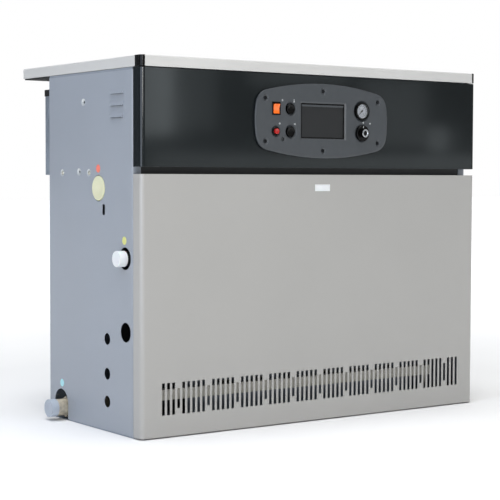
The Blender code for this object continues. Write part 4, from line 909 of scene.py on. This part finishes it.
def make_inside():
    for node in ("gas_valve", "gas_manifold", "pilot_burner", "burner_plate", "flue_collector",
                 "control_box", "base_pan", "frame_post_left", "frame_post_right",
                 "door_catch_left", "door_catch_right"):
        finish = {"gas_valve": "zinc_plate", "gas_manifold": "zinc_plate",
                  "pilot_burner": "drawn_steel", "door_catch_left": "white_moulded",
                  "door_catch_right": "white_moulded"}.get(node, "galvanised")
        show(rounded(reworked(node, f"{node}_piece"), 0.3, 1, 60), "boiler", finish, node)
    for i in range(1, BURNERS + 1):
        show(smoothed(reworked(f"burner_{i}", f"burner_tube_{i}"), 40), "boiler", "stainless",
             f"burner_{i}")
    for i in range(1, SECTIONS + 1):
        show(rounded(reworked(f"section_{i}", f"iron_section_{i}"), 1.5, 2, 50), "boiler",
             "cast_iron", f"section_{i}")
    # Foil-faced quilt in front of the sections.
    low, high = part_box("section_1")
    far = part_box("section_7")[1]
    # Stitching draws it in at every 100 mm across and every 120 mm up.
    across, upward, depth = 0.1, 0.12, 6 * MM
    plate_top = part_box("burner_plate")[1].z
    quilt = block("quilt_front", (low.x + 4 * MM, low.y - 22 * MM, plate_top + 14 * MM),
                  (far.x - 4 * MM, low.y - 2 * MM, high.z - 8 * MM))
    edit(quilt)
    bpy.ops.mesh.subdivide(number_cuts=24)
    leave()
    modified(quilt, "SUBSURF", levels=1, render_levels=1)
    for vertex in quilt.data.vertices:
        if vertex.co.y < low.y - 12 * MM:
            puff = abs(math.sin(math.pi * ((vertex.co.x - low.x) / across))) ** 0.5
            row = abs(math.sin(math.pi * (vertex.co.z - plate_top) / upward)) ** 0.5
            vertex.co.y += (1 - puff * row) * depth
    show(smoothed(quilt, 60), "boiler", "quilt")


# ---- Room -----------------------------------------------------------------------------------
CAMERA_PLACE = (-2.1724, -3.0571, 0.5818)
YAW, PITCH, ROLL = 35.31, -2.81, 0.17  # degrees
LENS, SENSOR_WIDTH = 106.2, 36.0  # mm
# Name, place, aim, width and height, radiance, colour, seen in reflections, lights surfaces.
LAMPS = (
    ("key", (-1.0, -1.7, 1.7), (-0.3, -0.28, 0.75), (1.0, 0.8), 4.0, "#fffaf2", False, True),
    ("left_strip", (-2.2, -0.9, 2.3), (-0.5, -0.1, 0.7), (0.8, 0.8), 6.5, "#dfeaff", False, True),
    ("left_glow", (-2.9, -1.2, 0.9), (-0.5, -0.2, 0.7), (1.7, 2.2), 3.2, "#e6efff", True, False),
)
# Soft boxes that show as dim patches in the gloss black fascia: x, z, width, height, radiance.
CARDS = (
    ("card_left", 1.50, 0.99, 0.20, 0.44, 1.9), ("card_left_wide", 1.70, 1.00, 0.28, 0.40, 0.5),
    ("card_top", 2.37, 1.10, 0.50, 0.10, 0.6), ("card_middle", 3.00, 0.93, 0.36, 0.36, 0.6),
    ("card_right", 3.335, 0.793, 0.10, 0.13, 1.7), ("card_low", 2.7, 0.655, 2.1, 0.08, 1.1),
)
CARD_DEPTH, CARD_AIM = -3.5, (-1.4, -1.5)  # y of the soft boxes; x step and y of their aim


def make_camera():
    data = bpy.data.cameras.new("camera")
    data.lens, data.sensor_width = LENS, SENSOR_WIDTH
    camera = bpy.data.objects.new("camera", data)
    bpy.context.scene.collection.objects.link(camera)
    yaw, pitch, roll = (math.radians(a) for a in (YAW, PITCH, ROLL))
    ahead = Vector((math.sin(yaw) * math.cos(pitch), math.cos(yaw) * math.cos(pitch),
                    math.sin(pitch)))
    right = Vector((math.cos(yaw), -math.sin(yaw), 0))
    up = right.cross(ahead)
    side = right * math.cos(roll) + up * math.sin(roll)
    top = up * math.cos(roll) - right * math.sin(roll)
    turn = Matrix((side, top, -ahead)).transposed().to_4x4()
    camera.matrix_world = Matrix.Translation(CAMERA_PLACE) @ turn
    bpy.context.scene.camera = camera


def lamp(name, place, aim, size, radiance, colour="#ffffff", seen=True, lights=True):
    """An area light of that size whose face has that radiance. Without seen it shows in no
    reflection, and without lights it only shows in reflections."""
    data = bpy.data.lights.new(name, "AREA")
    data.shape = "RECTANGLE"
    data.size, data.size_y = size
    data.energy = radiance * math.pi * size[0] * size[1]
    data.color = linear(colour)[:3]
    made = bpy.data.objects.new(name, data)
    bpy.context.scene.collection.objects.link(made)
    made.location = place
    made.rotation_mode = "QUATERNION"
    made.rotation_quaternion = (Vector(aim) - Vector(place)).to_track_quat("-Z", "Y")
    made.visible_camera = False
    made.visible_glossy = seen
    made.visible_diffuse = lights


def sunlight(name, energy, spread, turn):
    """A distant lamp that points down before it is turned, by degrees about X, Y and Z."""
    data = bpy.data.lights.new(name, "SUN")
    data.energy, data.angle = energy, math.radians(spread)
    made = bpy.data.objects.new(name, data)
    bpy.context.scene.collection.objects.link(made)
    made.rotation_euler = [math.radians(a) for a in turn]


def make_room():
    bpy.ops.mesh.primitive_plane_add(size=60)
    floor = named(bpy.context.view_layer.objects.active, "studio_floor")
    vinyl = surface("matt_white_vinyl_floor", "#f6f6f6", 0.75, tone=0.01, patch=900, grain=0.02,
                    grit=5)
    floor.data.materials.append(vinyl)
    # Away from the boiler the floor glows a little, like a lit sweep, so it ends in white.
    tree = vinyl.node_tree
    place = add(tree, "ShaderNodeTexCoord")
    away = add(tree, "ShaderNodeVectorMath", links={0: place.outputs["Object"]}, operation="LENGTH")
    glow = add(tree, "ShaderNodeMapRange", {"From Min": 1.0, "From Max": 3.0, "To Min": 0.0,
                                            "To Max": 0.25}, {"Value": away.outputs["Value"]})
    shader = tree.nodes["Principled BSDF"]
    shader.inputs["Emission Color"].default_value = (1, 1, 1, 1)
    tree.links.new(glow.outputs["Result"], shader.inputs["Emission Strength"])
    world = bpy.data.worlds.new("studio")
    bpy.context.scene.world = world
    world.use_nodes = True
    tree = world.node_tree
    backdrop = tree.nodes["Background"]
    place = add(tree, "ShaderNodeTexCoord")
    parts = add(tree, "ShaderNodeSeparateXYZ", links={0: place.outputs["Generated"]})
    # The studio is dim low down, brighter above, and a little blue on the left.
    sky = add(tree, "ShaderNodeMapRange", {"From Min": 0.15, "From Max": 0.9, "To Min": 0.16,
                                           "To Max": 0.6}, {"Value": parts.outputs["Z"]})
    across = add(tree, "ShaderNodeMapRange", {"From Min": -1.0, "From Max": 1.0},
                 {"Value": parts.outputs["X"]})
    tint = two_tone(tree, across.outputs["Result"], (0.0, linear("#cfe0fa")),
                    (0.7, linear("#fffdf8")))
    tree.links.new(tint, backdrop.inputs["Color"])
    tree.links.new(sky.outputs["Result"], backdrop.inputs["Strength"])
    seen = add(tree, "ShaderNodeBackground", {"Color": (1, 1, 1, 1), "Strength": 1.0})
    ray = add(tree, "ShaderNodeLightPath")
    mixed = add(tree, "ShaderNodeMixShader", links={0: ray.outputs["Is Camera Ray"],
                                                    1: backdrop.outputs[0], 2: seen.outputs[0]})
    tree.links.new(mixed.outputs[0], tree.nodes["World Output"].inputs["Surface"])
    bpy.context.scene.view_settings.view_transform = "Standard"
    sunlight("overhead", 1.75, 40, (3, -3, 0))
    sunlight("front", 0.35, 8, (84, 0, -28))
    for settings in LAMPS:
        lamp(*settings)
    for name, x, z, wide, tall, radiance in CARDS:
        lamp(name, (x, CARD_DEPTH, z), (x + CARD_AIM[0], CARD_AIM[1], z), (wide, tall), radiance,
             "#e4eef2")


make_camera()
make_room()
finish_nodes()
make_lid()
make_sides()
make_door()
make_fascia()
make_plate()
make_blank()
make_rocker()
make_lockout()
make_caps()
make_gauge()
make_knob()
make_stubs()
make_rear()
make_inside()
